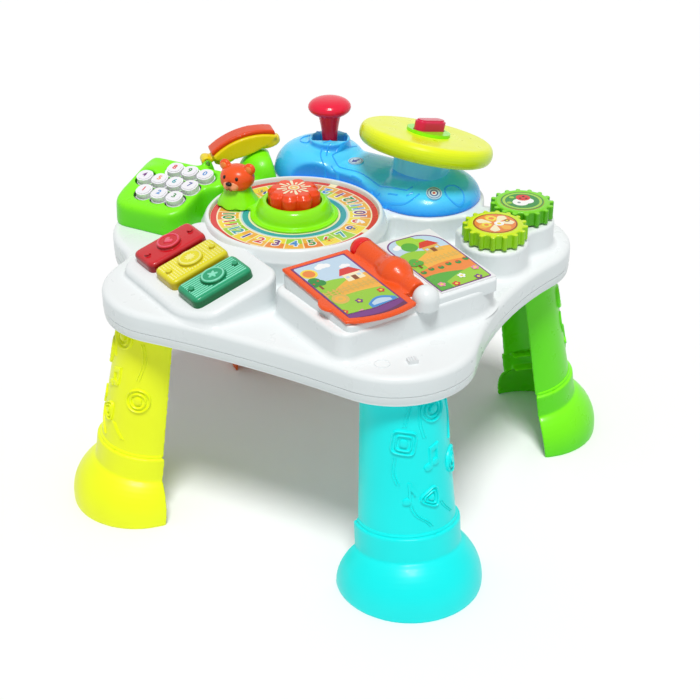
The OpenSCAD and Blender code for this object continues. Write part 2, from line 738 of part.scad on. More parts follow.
// Console
module console_block(d) {
    difference() {
        intersection() {
            translate([0, 0, deck_z + fit]) union() {
                translate([dome_a_p[0], dome_a_p[1], 0]) rotate_extrude($fn = 72)
                    polygon(dome_pts(dome_a_r, dome_a_h, d));
                translate([dome_b_p[0], dome_b_p[1], 0]) rotate_extrude($fn = 72)
                    polygon(dome_pts(dome_b_r, dome_b_h, d));
                translate([dome_b_p[0], dome_b_p[1], 0]) rotate([0, 0, 86]) rotate([90, 0, 90])
                    linear_extrude(142) polygon([for (i = [0:12]) [(44 - d) * cos(i * 15),
                        (dome_b_h - 3 - d) * pow(sin(i * 15), 0.6)]]);
            }
            translate([0, 0, deck_z - 5]) linear_extrude(80) body_2d(9 + d);
        }
        rotate([0, 0, -act_yaw]) translate([dial_p[0], dial_p[1], deck_z - 5])
            cylinder(r = dial_r + 1.5 + d, h = 90, $fn = 128);
    }
}
module console_cover() {
    color([0.1, 0.6, 0.95, 0.75]) place() difference() {
        union() {
            difference() {
                console_block(0);
                translate([0, 0, -1]) console_block(wall);
            }
            intersection() {
                at_wheel() translate([0, 0, -70]) cylinder(r = 31, h = 70 - wheel_t / 2 - 7);
                translate([0, 0, deck_z + 12]) cylinder(r = 400, h = 60);
            }
            intersection() {
                translate([lever_p[0], lever_p[1], deck_z + 20]) cylinder(r = 24, h = dome_a_h - 14);
                translate([-400, -400, deck_z]) cube(800);
            }
        }
        at_wheel() translate([0, 0, -90]) cylinder(r = 28.4, h = 90 - wheel_t / 2 - 9.6);
        at_wheel() translate([0, 0, -23]) cylinder(r = 7 + run, h = 40);
        at_lever() translate([-20, -9.5, -20]) cube([40, 19, 80]);
        for (p = badges) at_badge(p) cylinder(r = 9.5, h = 20);
    }
}
module at_badge(p) {
    translate([p[0], p[1], deck_z + p[2] - 1.2]) rotate([0, 0, p[3]]) rotate([0, p[4], 0]) children();
}
module console_badges() {
    color("lightblue") place() for (p = badges) at_badge(p) translate([0, 0, fit]) cylinder(r = 9, h = 2);
}
module gear_lever() {
    color("crimson") place() at_lever() difference() {
        union() {
            rotate([90, 0, 0]) cylinder(r = 8, h = 10, center = true, $fn = 48);
            cylinder(r = 5.4, h = lever_l - 30, $fn = 48);
            translate([0, 0, 13]) rotate_extrude($fn = 64)
                polygon(concat([[0, 0]], [for (i = [0:10]) [8.4 + 5.6 * pow(i / 10, 2.4),
                    i * (lever_l - 31) / 10]], [[0, lever_l - 31]]));
            translate([0, 0, lever_l - 21]) rotate_extrude($fn = 64)
                polygon([for (i = [0:16]) [knob_r * pow(sin(i * 11.25), 0.8), 10.5 - 10.5 * cos(i * 11.25)]]);
        }
        rotate([90, 0, 0]) cylinder(r = pin_r + run, h = 40, center = true, $fn = 32);
    }
}
module lever_bracket() {
    color("gray") place() at_lever() difference() {
        union() {
            for (s = [-1, 1]) translate([-8, s * 8 - 2, -lever_z + deck_z + fit])
                cube([16, 4, lever_z - deck_z + 6]);
            translate([-16, -10, -lever_z + deck_z + fit]) cube([32, 20, 2.5]);
        }
        rotate([90, 0, 0]) cylinder(r = pin_r + fit, h = 40, center = true, $fn = 32);
    }
}
module lever_pin() {
    color("silver") place() at_lever() rotate([90, 0, 0])
        cylinder(r = pin_r, h = 20, center = true, $fn = 32);
}
module steering_wheel() {
    color("yellow") place() at_wheel() difference() {
        union() {
            rotate_extrude($fn = 96) polygon(concat([[0, -wheel_t / 2]],
                [for (i = [0:12]) [wheel_r - wheel_t * 0.42 + wheel_t * 0.42 * pow(cos(-90 + i * 15), 0.8),
                    wheel_t / 2 * sin(-90 + i * 15)]], [[0, wheel_t / 2]]));
            translate([0, 0, -wheel_t / 2 - 14]) cylinder(r = 7, h = 20);
        }
        translate([0, 0, 2]) cylinder(r = 25, h = wheel_t);
        translate([0, 0, -7]) cylinder(r = 3 + run, h = 20, $fn = 32);
    }
}
module wheel_clip() {
    color("gray") place() at_wheel() translate([0, 0, -wheel_t / 2 - 14 - 1.6]) difference() {
        cylinder(r = 10, h = 1.6);
        translate([0, 0, -1]) cylinder(r = 2.5, h = 4, $fn = 32);
    }
}
module wheel_hub() {
    color("limegreen") place() at_wheel() translate([0, 0, 2 + fit]) difference() {
        cylinder(r = 24.9, h = wheel_t / 2 + 1.5);
        translate([0, 0, 3.5]) linear_extrude(20) round_rect(42 + 2 * gap, 16 + 2 * gap, 7.5);
        translate([0, 0, -1]) cylinder(r = 3 + run, h = 10, $fn = 32);
    }
}
module horn_button() {
    color("crimson") place() at_wheel() translate([0, 0, 2 + fit + 3.5]) {
        translate([0, 0, 3.2]) linear_extrude(wheel_t / 2 + 5) round_rect(42, 16, 7.5);
        translate([0, 0, 3.2]) linear_extrude(wheel_t / 2 + 7) round_rect(38, 12, 5.5);
        translate([0, 0, -8]) cylinder(r = 3, h = 12, $fn = 32);
    }
}

// Gears
module gear_body(k, tint) {
    color(tint) place() at_gear(k) rotate([0, 0, k * 180 / teeth]) translate([0, 0, 2]) difference() {
        union() {
            linear_extrude(gear_t - 1) gear_2d();
            cylinder(r = gear_r - 1, h = gear_t);
        }
        translate([0, 0, -1]) cylinder(r = axle_r + run, h = gear_t - 2);
        translate([0, 0, gear_t - 1.2]) cylinder(r = gear_label_r + fit, h = 3);
    }
}
module gear_front() {
    gear_body(0, "yellowgreen");
}
module gear_back() {
    gear_body(1, "limegreen");
}
module gear_labels(k) {
    color("orange") place() at_gear(k) translate([0, 0, gear_t + 0.9]) cylinder(r = gear_label_r, h = 1);
}
module gear_front_label() {
    gear_labels(0);
}
module gear_back_label() {
    gear_labels(1);
}
module gear_axles() {
    color("silver") place() for (k = [0, 1]) at_gear(k) {
        translate([0, 0, 1.5 + fit]) cylinder(r = axle_r, h = gear_t - 3);
        translate([0, 0, -wall - 6]) cylinder(r = axle_r - 1, h = 12);
        translate([0, 0, -wall - 6]) cylinder(r = 8, h = 6 - fit);
    }
}

// Book
module book_page() {
    color("orangered") place() at_book() difference() {
        union() {
            rotate([-90, 0, 0]) translate([0, 0, -46]) rotate_extrude($fn = 64) polygon([[0, 0], [10, 0],
                [11, 8], [10.5, 18], [13, 24], [16.6, 30], [spine_r, 38], [spine_r - 1.4, 47], [14, 55],
                [12.6, 60], [13, 80], [13.4, 92], [0, 92]]);
            translate([0, 0, -page_t / 2]) linear_extrude(page_t) intersection() {
                turning_page_2d(0);
                union() {
                    translate([-200, -200]) square([200 - 14.5, 400]);
                    translate([-20, -45]) square([14, 90]);
                }
            }
            translate([-page_w - 6, -22, -page_t / 2]) cylinder(r = 14, h = page_t, $fn = 48);
        }
        rotate([90, 0, 0]) cylinder(r = pin_r + run, h = 200, center = true, $fn = 32);
        for (z = [page_t / 2 - 0.8, -page_t / 2 - 1.2]) translate([0, 0, z]) linear_extrude(2)
            intersection() {
                turning_page_2d(6);
                translate([-200, -200]) square([200 - spine_r - 4, 400]);
            }
    }
}
module page_pic(z) {
    at_book() translate([0, 0, z]) linear_extrude(0.7) intersection() {
        turning_page_2d(6 + fit);
        translate([-200, -200]) square([200 - spine_r - 4 - fit, 400]);
    }
}
module book_page_picture_front() {
    color("skyblue") place() page_pic(page_t / 2 - 0.8);
}
module book_page_picture_back() {
    color("palegreen") place() page_pic(-page_t / 2 + 0.1);
}
module pad_pic(s) {
    at_book() mirror([s, 0, 0]) translate([0, 0, -page_t / 2 - 2 + fit]) linear_extrude(1.3) intersection() {
        page_2d(page_w - 2, 1);
        translate([-200, -200]) square([200 - spine_r - 4, 400]);
    }
}
module book_left_panel() {
    color("khaki") place() pad_pic(0);
}
module book_right_page() {
    color("lightgreen") place() pad_pic(1);
}
module hinge_post() {
    color("white") place() difference() {
        intersection() {
            at_book() {
                translate([0, -60, -22]) cylinder(r = 13.5, h = 22, $fn = 48);
                translate([0, -60, 0]) sphere(r = 13.5, $fn = 48);
            }
            translate([-400, -400, deck_z + fit]) cube([800, 800, 60]);
        }
        at_book() translate([0, -66, 0]) rotate([-90, 0, 0]) cylinder(r = pin_r + fit, h = 30, $fn = 32);
    }
}
module spine_cap() {
    color("red") place() difference() {
        at_book() union() {
            translate([0, 46.4, 0]) rotate([-90, 0, 0]) cylinder(r = 13.4, h = 6, $fn = 48);
            intersection() {
                translate([0, 50.4, 0]) sphere(r = 13.6, $fn = 48);
                translate([-20, 50.4, -20]) cube([40, 30, 40]);
            }
            translate([-5, 46.4, -hinge_h - 3]) cube([10, 8, 14]);
        }
        at_book() rotate([90, 0, 0]) cylinder(r = pin_r + fit, h = 116, center = true, $fn = 32);
        translate([-400, -400, deck_z + fit - 40]) cube([800, 800, 40]);
    }
}
module page_hinge_pin() {
    color("silver") place() at_book() translate([0, -60, 0]) rotate([-90, 0, 0])
        cylinder(r = pin_r, h = 116, $fn = 32);
}

// Switch
module power_switch() {
    color("orange") place() at_switch() {
        translate([-4, -5, -4.2]) cube([8, 10, 8]);
        translate([-7, -8, -4.2]) cube([14, 16, 1.2]);
        for (i = [-1:1]) translate([-4, i * 2.6 - 0.5, 3.8]) cube([8, 1, 0.8]);
    }
}

top_shell();
base_shell();
battery_door();
battery_door_screw();
case_screws();
batteries();
battery_contacts();
circuit_board();
speaker();
leg_orange();
leg_yellow();
leg_teal();
leg_green();
dial_label();
bear_ring();
bear_head();
bear_muzzle();
center_button();
piano_key_red();
piano_key_yellow();
piano_key_green();
key_contact_mat();
phone_base();
phone_contact_mat();
handset_shell();
handset_back();
handset_hinge_pin();
console_cover();
console_badges();
gear_lever();
lever_bracket();
lever_pin();
steering_wheel();
wheel_clip();
wheel_hub();
horn_button();
gear_front();
gear_back();
gear_front_label();
gear_back_label();
gear_axles();
book_page();
book_page_picture_front();
book_page_picture_back();
book_left_panel();
book_right_page();
hinge_post();
spine_cap();
page_hinge_pin();
power_switch();
phone_key(0);  // phone_key_1
phone_key(1);  // phone_key_2
phone_key(2);  // phone_key_3
phone_key(3);  // phone_key_4
phone_key(4);  // phone_key_5
phone_key(5);  // phone_key_6
phone_key(6);  // phone_key_7
phone_key(7);  // phone_key_8
phone_key(8);  // phone_key_9
phone_key(9);  // phone_key_0
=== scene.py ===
"""Looks of the musical activity table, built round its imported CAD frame.

Metres, row frame: +Z up, the floor at Z = 0. Angles are in degrees.
Play pieces sit in the activity frame, which is turned ACT_YAW against the legs.
"""

import json
import math

import bpy
import numpy as np
from mathutils import Matrix, Vector
from mathutils.bvhtree import BVHTree

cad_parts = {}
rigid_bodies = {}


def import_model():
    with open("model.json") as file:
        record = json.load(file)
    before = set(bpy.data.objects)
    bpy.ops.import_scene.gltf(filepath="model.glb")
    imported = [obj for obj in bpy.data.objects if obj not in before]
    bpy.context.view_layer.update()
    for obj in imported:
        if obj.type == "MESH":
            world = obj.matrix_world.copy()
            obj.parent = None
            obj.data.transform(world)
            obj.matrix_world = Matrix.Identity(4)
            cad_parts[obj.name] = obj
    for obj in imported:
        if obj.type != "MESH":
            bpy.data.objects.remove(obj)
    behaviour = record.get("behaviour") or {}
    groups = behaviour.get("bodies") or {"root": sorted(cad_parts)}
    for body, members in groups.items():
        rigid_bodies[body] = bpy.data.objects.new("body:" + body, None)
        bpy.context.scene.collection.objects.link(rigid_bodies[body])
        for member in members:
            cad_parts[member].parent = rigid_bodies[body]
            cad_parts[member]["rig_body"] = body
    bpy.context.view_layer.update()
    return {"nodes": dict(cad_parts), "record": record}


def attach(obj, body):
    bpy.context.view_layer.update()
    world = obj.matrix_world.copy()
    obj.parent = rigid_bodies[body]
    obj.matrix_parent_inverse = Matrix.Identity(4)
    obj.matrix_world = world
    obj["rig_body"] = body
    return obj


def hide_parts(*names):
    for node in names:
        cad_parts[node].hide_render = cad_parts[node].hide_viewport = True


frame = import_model()
SLOT_OF = {s["node"]: s["material_slot"] for s in frame["record"]["subparts"]}

# ---------------------------------------------------------------- dimensions, in mm and degrees
MM = 0.001
MID_Y = 19.6  # the row frame's origin lies this far along the model's +Y
UNDER_Z, WALL_BOTTOM, LEDGE_Z, DECK_Z = 228, 238, 260, 291
LOBE_C, LOBE_R = 127, 85  # the tray's four round corners
DIPS = (12, 16, 6, 17)  # how far each side of the tray falls back between two lobes
BULGE_Y, BULGE_R = 180, 104
EDGE_IN, EDGE_UP = 8, 7  # rounding of the tray's upper edge
ACT_YAW = 28  # turn of the activity frame
DIAL_P, DIAL_R, SEAT_R = (-25, 58), 98, 21.5
BEAR_D, BEAR_A, HEAD_Z = 71, 120, 37
SKIRT_Z, SKIRT_R = (7, 9, 13, 17, 21, 25, 28), (22.8, 22.4, 20.4, 18.2, 16.4, 15, 13.4)
PIANO_P, PIANO_Z, PIANO_TILT = (-168, 30), 283, 15.5
PKEY_PITCH, PKEY_L, PKEY_W, PKEY_H = 48, 72, 42, 11
BOOK_P, HINGE_H, BOOK_TILT, PAGE_W, PAGE_L, PAGE_T, SPINE_R = (-27, -129), 15, 4, 80, 116, 4, 18.5
PHONE_P, PHONE_Z, PHONE_TILT = (5, 228), 300, 15
KEY_ROWS = ((-1, 19, 3), (0, 33, 4), (1, 6, 3))  # row, first key's place along it, number of keys
FKEY_PITCH, FROW_PITCH, FKEY_TOP = 20.5, 23.5, 5.2
DOME_A_P, DOME_A_R, DOME_B_P, DOME_B_R = (143, 105), 56, (133, -38), 62
WHEEL_P, WHEEL_Z, WHEEL_YAW, WHEEL_TILT = (143, -31), 350.5, -21, 15
GEAR_P, GEAR_A, GEAR_D, GEAR_T, GEAR_LABEL_R = (63, -152.5), -3, 67, 17, 24
LEG_TOP_R, LEG_FOOT_R = 205, 240  # a leg's axis from the middle, at the tray and at the floor
LEG_R_TOP, LEG_R_LOW, COLLAR_TOP = 43, 51, 74.5
BADGES = ((130, 52, 24.6, 176, 4), (96, -64, 22.2, -145, 26))  # x, y, height over the deck, way, tilt
TRAY_SPAN = (-290, 300, -290, 300)  # the area that the tray's outlines are looked for in
PRINT_Z = 5.31  # the dial's print over its deck
CAMERA_LENS = 78.86
CAMERA_AT = (-1.32831, -0.71569 - MID_Y * MM, 1.01463)  # in metres
CAMERA_TO = (-0.02840, -0.02452 - MID_Y * MM, 0.16463)


def move(x, y, z=0):
    return Matrix.Translation((x * MM, y * MM, z * MM))


def turn(angle, axis="Z"):
    return Matrix.Rotation(math.radians(angle), 4, axis)


MODEL = move(0, -MID_Y)
ACT = MODEL @ turn(-ACT_YAW)
AT_DIAL = ACT @ move(*DIAL_P, DECK_Z)
AT_BEAR = AT_DIAL @ turn(BEAR_A) @ move(BEAR_D, 0) @ turn(90)
AT_PIANO = ACT @ move(*PIANO_P, PIANO_Z) @ turn(-PIANO_TILT, "Y")
AT_BOOK = ACT @ move(*BOOK_P, DECK_Z + HINGE_H) @ turn(BOOK_TILT, "X")
AT_PHONE = MODEL @ move(*PHONE_P, PHONE_Z) @ turn(-PHONE_TILT, "Y")
AT_WHEEL = MODEL @ move(*WHEEL_P, WHEEL_Z) @ turn(WHEEL_YAW) @ turn(WHEEL_TILT, "Y")
LEG_LEAN = math.degrees(math.atan2(LEG_FOOT_R - LEG_TOP_R, UNDER_Z))


def at_gear(k):
    return MODEL @ move(*GEAR_P, DECK_Z) @ turn(GEAR_A) @ move(k * GEAR_D, 0)


def at_leg(k):
    return MODEL @ turn(45 + 90 * k) @ move(LEG_FOOT_R, 0) @ turn(-LEG_LEAN, "Y")


# ---------------------------------------------------------------- materials
def linear(hexa):
    """Linear RGB of a colour written as rrggbb."""
    c = [int(hexa[i:i + 2], 16) / 255 for i in (0, 2, 4)]
    return [v / 12.92 if v <= 0.04045 else ((v + 0.055) / 1.055) ** 2.4 for v in c] + [1]


def plastic(name, colour, rough=0.3, coat=0.0, grain=0.05, grain_size=1300, shade=0.93, painted_glow=0.0, side=None):
    """Moulded plastic: a slow drift of shade, uneven gloss and a fine grain; side is a painted shade, a darker colour
    that upright faces take; the glow is painted light, the plastic's own colour given off as emission.
    """
    m = bpy.data.materials.new(name)
    m.use_nodes = True
    n, link = m.node_tree.nodes, m.node_tree.links.new
    bsdf = n["Principled BSDF"]
    where = n.new("ShaderNodeTexCoord").outputs["Object"]

    def noise(scale, detail):
        t = n.new("ShaderNodeTexNoise")
        t.inputs["Scale"].default_value = scale
        t.inputs["Detail"].default_value = detail
        link(where, t.inputs["Vector"])
        return t.outputs["Fac"]

    def span(value, low, high, start=0.3, end=0.7):
        r = n.new("ShaderNodeMapRange")
        r.inputs["From Min"].default_value, r.inputs["From Max"].default_value = start, end
        r.inputs["To Min"].default_value, r.inputs["To Max"].default_value = low, high
        link(value, r.inputs["Value"])
        return r.outputs["Result"]

    def blend(factor, low):
        mix = n.new("ShaderNodeMix")
        mix.data_type = "RGBA"
        mix.inputs["A"].default_value = low
        link(factor, mix.inputs["Factor"])
        return mix.inputs["B"], mix.outputs["Result"]

    full = linear(colour)
    high, tone = blend(span(noise(14, 2), 0, 1), [v * shade for v in full[:3]] + [1])
    high.default_value = full
    # Painted shade: faces blend towards the darker side colour as their normal turns from straight up.
    if side:
        axes = n.new("ShaderNodeSeparateXYZ")
        link(n.new("ShaderNodeNewGeometry").outputs["Normal"], axes.inputs["Vector"])
        high, painted_shade_tone = blend(span(axes.outputs["Z"], 0, 1, 0, 0.9), linear(side))
        link(tone, high)
        tone = painted_shade_tone
    link(tone, bsdf.inputs["Base Color"])
    link(span(noise(60, 3), rough * 0.85, rough * 1.2), bsdf.inputs["Roughness"])
    bump = n.new("ShaderNodeBump")
    bump.inputs["Strength"].default_value = grain
    bump.inputs["Distance"].default_value = 0.0004
    link(noise(grain_size, 2), bump.inputs["Height"])
    link(bump.outputs["Normal"], bsdf.inputs["Normal"])
    for socket, value in (("Specular IOR Level", 0.25), ("Coat Weight", coat / 3), ("Coat Roughness", 0.08)):
        bsdf.inputs[socket].default_value = value
    # Painted light: the plastic gives off its own colour, though it is no lamp.
    if painted_glow:
        bsdf.inputs["Emission Color"].default_value = full
        bsdf.inputs["Emission Strength"].default_value = painted_glow
    return m


def metal(name, colour, rough):
    m = plastic(name, colour, rough, grain=0.15, grain_size=900, shade=0.85)
    m.node_tree.nodes["Principled BSDF"].inputs["Metallic"].default_value = 1.0
    return m


# side: a painted shade, the darker colour that upright faces take; glow: painted light, emission of the material's
# own colour.
PLASTICS = {  # colour, roughness, coat, the rest by name
    "white_plastic": ("eff3f3", 0.3, 0.3, {"grain": 0.02, "shade": 0.985, "side": "dbe3e4"}),
    "yellow_plastic": ("f1fc1e", 0.34, 0.1, {"shade": 0.95}),
    "teal_plastic": ("0df0ee", 0.34, 0.1, {"shade": 0.95}),
    "green_plastic": ("86fa16", 0.3, 0.2, {"shade": 0.95, "side": "5edc10"}),
    "orange_plastic": ("ea6524", 0.38, 0, {"shade": 0.92}),
    "dial_print": ("f3d9a0", 0.3, 0.3, {}),
    "lime_plastic": ("90f510", 0.22, 0.4, {"shade": 0.95}),
    "bear_plastic": ("f4581c", 0.28, 0.3, {}),
    "muzzle_plastic": ("f6a070", 0.3, 0.2, {}),
    "button_plastic": ("f54a10", 0.22, 0.5, {}),
    "key_red": ("d01420", 0.2, 0.8, {"side": "8a0a14"}),
    "key_yellow": ("e6dc20", 0.28, 0.5, {"side": "b8a410"}),
    "key_green": ("1fa070", 0.28, 0.5, {"side": "0b6438"}),
    "phone_key_white": ("f4f3f8", 0.25, 0.4, {"shade": 0.97}),
    "contact_rubber": ("cfcfca", 0.6, 0, {}),
    "handset_yellow": ("f4dc14", 0.28, 0.3, {"shade": 0.92}),
    "handset_orange": ("e8480e", 0.3, 0.3, {}),
    "console_blue": ("4ed2ff", 0.24, 0.6, {"shade": 0.9, "painted_glow": 0.12, "side": "127cec"}),
    "badge_print": ("a6e0f8", 0.2, 0.5, {}),
    "lever_red": ("f0103c", 0.2, 0.6, {}),
    "grey_plastic": ("77797e", 0.45, 0, {}),
    "wheel_yellow": ("f2fb1c", 0.3, 0.4, {"grain": 0, "shade": 0.95, "side": "cdec14"}),
    "horn_red": ("e2164c", 0.2, 0.5, {}),
    "gear_front_plastic": ("d4f01c", 0.28, 0.3, {"shade": 0.92, "side": "8fce14"}),
    "gear_back_plastic": ("84e02a", 0.28, 0.3, {"shade": 0.92, "side": "52ae14"}),
    "gear_print": ("ee8a26", 0.3, 0.3, {}),
    "book_orange": ("f4581a", 0.27, 0.35, {"shade": 0.94}),
    "book_print": ("6b2f58", 0.32, 0.25, {}),
    "cap_red": ("ec1c1a", 0.25, 0.4, {}),
    "switch_orange": ("e9edee", 0.3, 0.2, {}),
    "battery_label": ("4a4d55", 0.35, 0, {}),
    "board_green": ("1f6a3c", 0.4, 0, {}),
    "speaker_black": ("1c1c1f", 0.6, 0, {}),
}
METALS = {  # colour, roughness
    "steel": ("c4c4c6", 0.25), "contact_steel": ("d6d6d6", 0.15),
}
LOOK = {name: plastic(name, *row[:3], **row[3]) for name, row in PLASTICS.items()}
LOOK.update((name, metal(name, *row)) for name, row in METALS.items())
INK_COLOURS = {
    "red": "dc3b36", "orange": "f08a3c", "amber": "f6b84a", "cream": "fbf0c8", "yellow": "f7e04a",
    "lime": "a8d848", "green": "58b03c", "leaf": "2f8f3a", "teal": "3aa6ae", "sky": "c4dcee",
    "blue": "4a92d8", "navy": "3b4fa0", "purple": "7a3a86", "pink": "ee8fb0", "white": "fbfbfa",
    "brown": "8a4a24", "straw": "e2b85a", "grey": "8f979c", "black": "1d1614", "grass": "9bd03a",
}
INK = {k: plastic("ink_" + k, v, 0.3, 0.3, grain=0.03) for k, v in INK_COLOURS.items()}
PAGE = plastic("page_white", "eeeff0", 0.35, 0.1)

for node, obj in frame["nodes"].items():
    obj.data.materials.clear()
    obj.data.materials.append(PAGE if node in ("book_right_page", "book_left_panel") else LOOK[SLOT_OF[node]])


# ---------------------------------------------------------------- mesh helpers
def add_object(name, data):
    obj = bpy.data.objects.new(name, data)
    bpy.context.scene.collection.objects.link(obj)
    return obj


def finish_piece(name, verts, faces, body, materials, angle=38, matrix=None, ids=None, slot=None):
    """A mesh object from vertices in millimetres, smooth below the angle, riding on its body."""
    me = bpy.data.meshes.new(name)
    me.from_pydata([tuple(c * MM for c in v) for v in verts], [], faces)
    for m in materials:
        me.materials.append(m)
    if ids is not None:
        for poly, i in zip(me.polygons, ids):
            poly.material_index = i
    me.validate()
    me.shade_smooth()
    me.set_sharp_from_angle(angle=math.radians(angle))
    if matrix is not None:
        me.transform(matrix)
    obj = add_object(name, me)
    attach(obj, body)
    return obj


class Shape:
    """Vertices and faces gathered for one piece, in millimetres."""

    def __init__(self):
        self.verts, self.faces, self.ids = [], [], []

    def add(self, verts, faces, ident=0):
        base = len(self.verts)
        self.verts += [tuple(v) for v in verts]
        self.faces += [tuple(base + i for i in f) for f in faces]
        self.ids += [ident] * len(faces)

    def rings(self, rings, cap_low=False, cap_high=True, ident=0, closed=True):
        """Quads between rings of equal length, wound so that a ring turning left looks out."""
        n = len(rings[0])
        faces = []
        for k in range(len(rings) - 1):
            for i in range(n if closed else n - 1):
                j = (i + 1) % n
                faces.append((k * n + i, k * n + j, (k + 1) * n + j, (k + 1) * n + i))
        if cap_low:
            faces.append(tuple(range(n - 1, -1, -1)))
        if cap_high:
            faces.append(tuple((len(rings) - 1) * n + i for i in range(n)))
        self.add([p for r in rings for p in r], faces, ident)

    def lathe(self, profile, segments=64, close=False):
        """Turns (radius, height) points round Z."""
        rings = [[(r * math.cos(a), r * math.sin(a), z) for a in
                  (2 * math.pi * i / segments for i in range(segments))] for r, z in profile]
        if close:
            rings.append(rings[0])
        self.rings(rings, cap_low=not close, cap_high=not close)

    def piece(self, name, body, materials, **more):
        ids = self.ids if any(self.ids) else None
        return finish_piece(name, self.verts, self.faces, body, materials, ids=ids, **more)


def arc(cx, cy, r, a0, a1, n):
    """n + 1 points of a circle from angle a0 to a1."""
    return [(cx + r * math.cos(math.radians(a0 + (a1 - a0) * i / n)),
             cy + r * math.sin(math.radians(a0 + (a1 - a0) * i / n))) for i in range(n + 1)]


def disc(x, y, r, n=28):
    return arc(x, y, r, 0, 360, n)[:-1]


def rotated(x, y, angle):
    a = math.radians(angle)
    return x * math.cos(a) - y * math.sin(a), x * math.sin(a) + y * math.cos(a)


def shifted(loop, u, v, angle=0):
    return [(u + x, v + y) for x, y in (rotated(*p, angle) for p in loop)]


def round_poly(points, r):
    """A polygon, listed turning left, with its corners rounded to radius r."""
    out = []
    pts = [Vector(p) for p in points]
    for i, p in enumerate(pts):
        back, ahead = pts[i - 1] - p, pts[(i + 1) % len(pts)] - p
        a, b = back.normalized(), ahead.normalized()
        reach = min(r / math.tan(a.angle(b) / 2), 0.45 * back.length, 0.45 * ahead.length)
        for t in (k / 5 for k in range(6)):
            out.append(tuple(p + a * reach * (1 - t) ** 2 + b * reach * t ** 2))
    return out


def inset(loop, d):
    """A closed loop, turning left, moved inwards by d."""
    p = np.array(loop, float)
    t = np.roll(p, -1, 0) - np.roll(p, 1, 0)
    t /= np.linalg.norm(t, axis=1)[:, None] + 1e-12
    return p - np.stack([t[:, 1], -t[:, 0]], 1) * d


def slab(loop, levels, lift=None):
    """Rings of a loop at each (inset, height); lift(x, y, height) gives Z."""
    rings = []
    for d, h in levels:
        q = inset(loop, d)
        rings.append([(x, y, lift(x, y, h) if lift else h) for x, y in q])
    return rings


def rounding(r_in, h, n=6):
    """(inset, height) steps of a rounded upper edge that ends flat at height h."""
    r_in, r_up = r_in if isinstance(r_in, tuple) else (r_in, r_in)
    return [(r_in * (1 - math.cos(math.radians(90 * i / n))),
             h - r_up + r_up * math.sin(math.radians(90 * i / n))) for i in range(n + 1)]


# ---------------------------------------------------------------- outlines of the tray
def contours(f, x0, x1, y0, y1, h):
    """Closed loops, turning left, round where the distance function f is negative."""
    xs, ys = np.arange(x0, x1 + h, h), np.arange(y0, y1 + h, h)
    v = f(*np.meshgrid(xs, ys, indexing="ij"))
    inside = v < 0
    points, follow = {}, {}

    def crossing(i, j, k, l):
        key = (min(i, k), min(j, l), i != k)
        if key not in points:
            t = v[i, j] / (v[i, j] - v[k, l])
            points[key] = (xs[i] + (xs[k] - xs[i]) * t, ys[j] + (ys[l] - ys[j]) * t)
        return key

    mixed = (inside[:-1, :-1].astype(int) + inside[1:, :-1] + inside[1:, 1:] + inside[:-1, 1:]) % 4
    for i, j in zip(*np.nonzero(mixed)):
        c = [(i, j), (i + 1, j), (i + 1, j + 1), (i, j + 1)]
        leave, enter = [], []
        for k in range(4):
            a, b = c[k], c[(k + 1) % 4]
            if inside[a] and not inside[b]:
                leave.append((k, crossing(*a, *b)))
            elif inside[b] and not inside[a]:
                enter.append((k, crossing(*a, *b)))
        for k, key in leave:
            follow[key] = min(enter, key=lambda e: (e[0] - k) % 4)[1]
    loops = []
    while follow:
        key = next(iter(follow))
        loop = []
        while key in follow:
            loop.append(points[key])
            key = follow.pop(key)
        loops.append(np.array(loop))
    return loops


def even(loop, step, passes):
    """The loop with points at even steps, eased a few times."""
    p = np.vstack([loop, loop[:1]])
    s = np.concatenate([[0], np.cumsum(np.linalg.norm(np.diff(p, axis=0), axis=1))])
    n = max(12, int(s[-1] / step))
    t = np.linspace(0, s[-1], n, endpoint=False)
    q = np.stack([np.interp(t, s, p[:, 0]), np.interp(t, s, p[:, 1])], 1)
    for _ in range(passes):
        q = (np.roll(q, 1, 0) + 2 * q + np.roll(q, -1, 0)) / 4
    return q


def eased(points, r, step):
    """A polygon with rounded corners and points at even steps."""
    return even(np.array(round_poly(points, r)), step, 1)


def join(a, b, k):
    """The lesser of two distances, blended over a width k where they meet."""
    h = np.maximum(k - np.abs(a - b), 0) / k
    return np.minimum(a, b) - h * h * k / 4


def circle_d(x, y, c, r):
    return np.hypot(x - c[0], y - c[1]) - r


def box_d(x, y, c, half, r, angle):
    """Distance to a turned rectangle about c with corners of radius r."""
    u, v = rotated(x - c[0], y - c[1], -angle)
    u, v = np.abs(u) - half[0] + r, np.abs(v) - half[1] + r
    return np.hypot(np.maximum(u, 0), np.maximum(v, 0)) + np.minimum(np.maximum(u, v), 0) - r


def from_act(x, y):
    """A point of the activity frame in the model's frame."""
    return rotated(x, y, -ACT_YAW)


def to_act(x, y):
    return rotated(x, y, ACT_YAW)


def body_d(x, y):
    """Distance to the tray's outline: four lobes joined by hollow sides, and the phone's bulge."""
    best = None
    for k, dip in enumerate(DIPS):
        u, v = rotated(x, y, -90 * k)
        depth = LOBE_C + LOBE_R - dip
        reach = depth - LOBE_C
        r = (LOBE_C ** 2 + reach ** 2 - LOBE_R ** 2) / (2 * (LOBE_R - reach))
        side = np.where(u > 0, r - np.hypot(u - r - depth, v), -1e3)
        lobes = np.minimum(np.hypot(u - LOBE_C, v - LOBE_C), np.hypot(u - LOBE_C, v + LOBE_C)) - LOBE_R
        tangent = np.abs(v) < LOBE_C * r / (r + LOBE_R)
        best = np.where(u >= np.abs(v), np.where(tangent, side, lobes), 1e3 if best is None else best)
    return join(best, circle_d(x, y, (0, BULGE_Y), BULGE_R), 24)


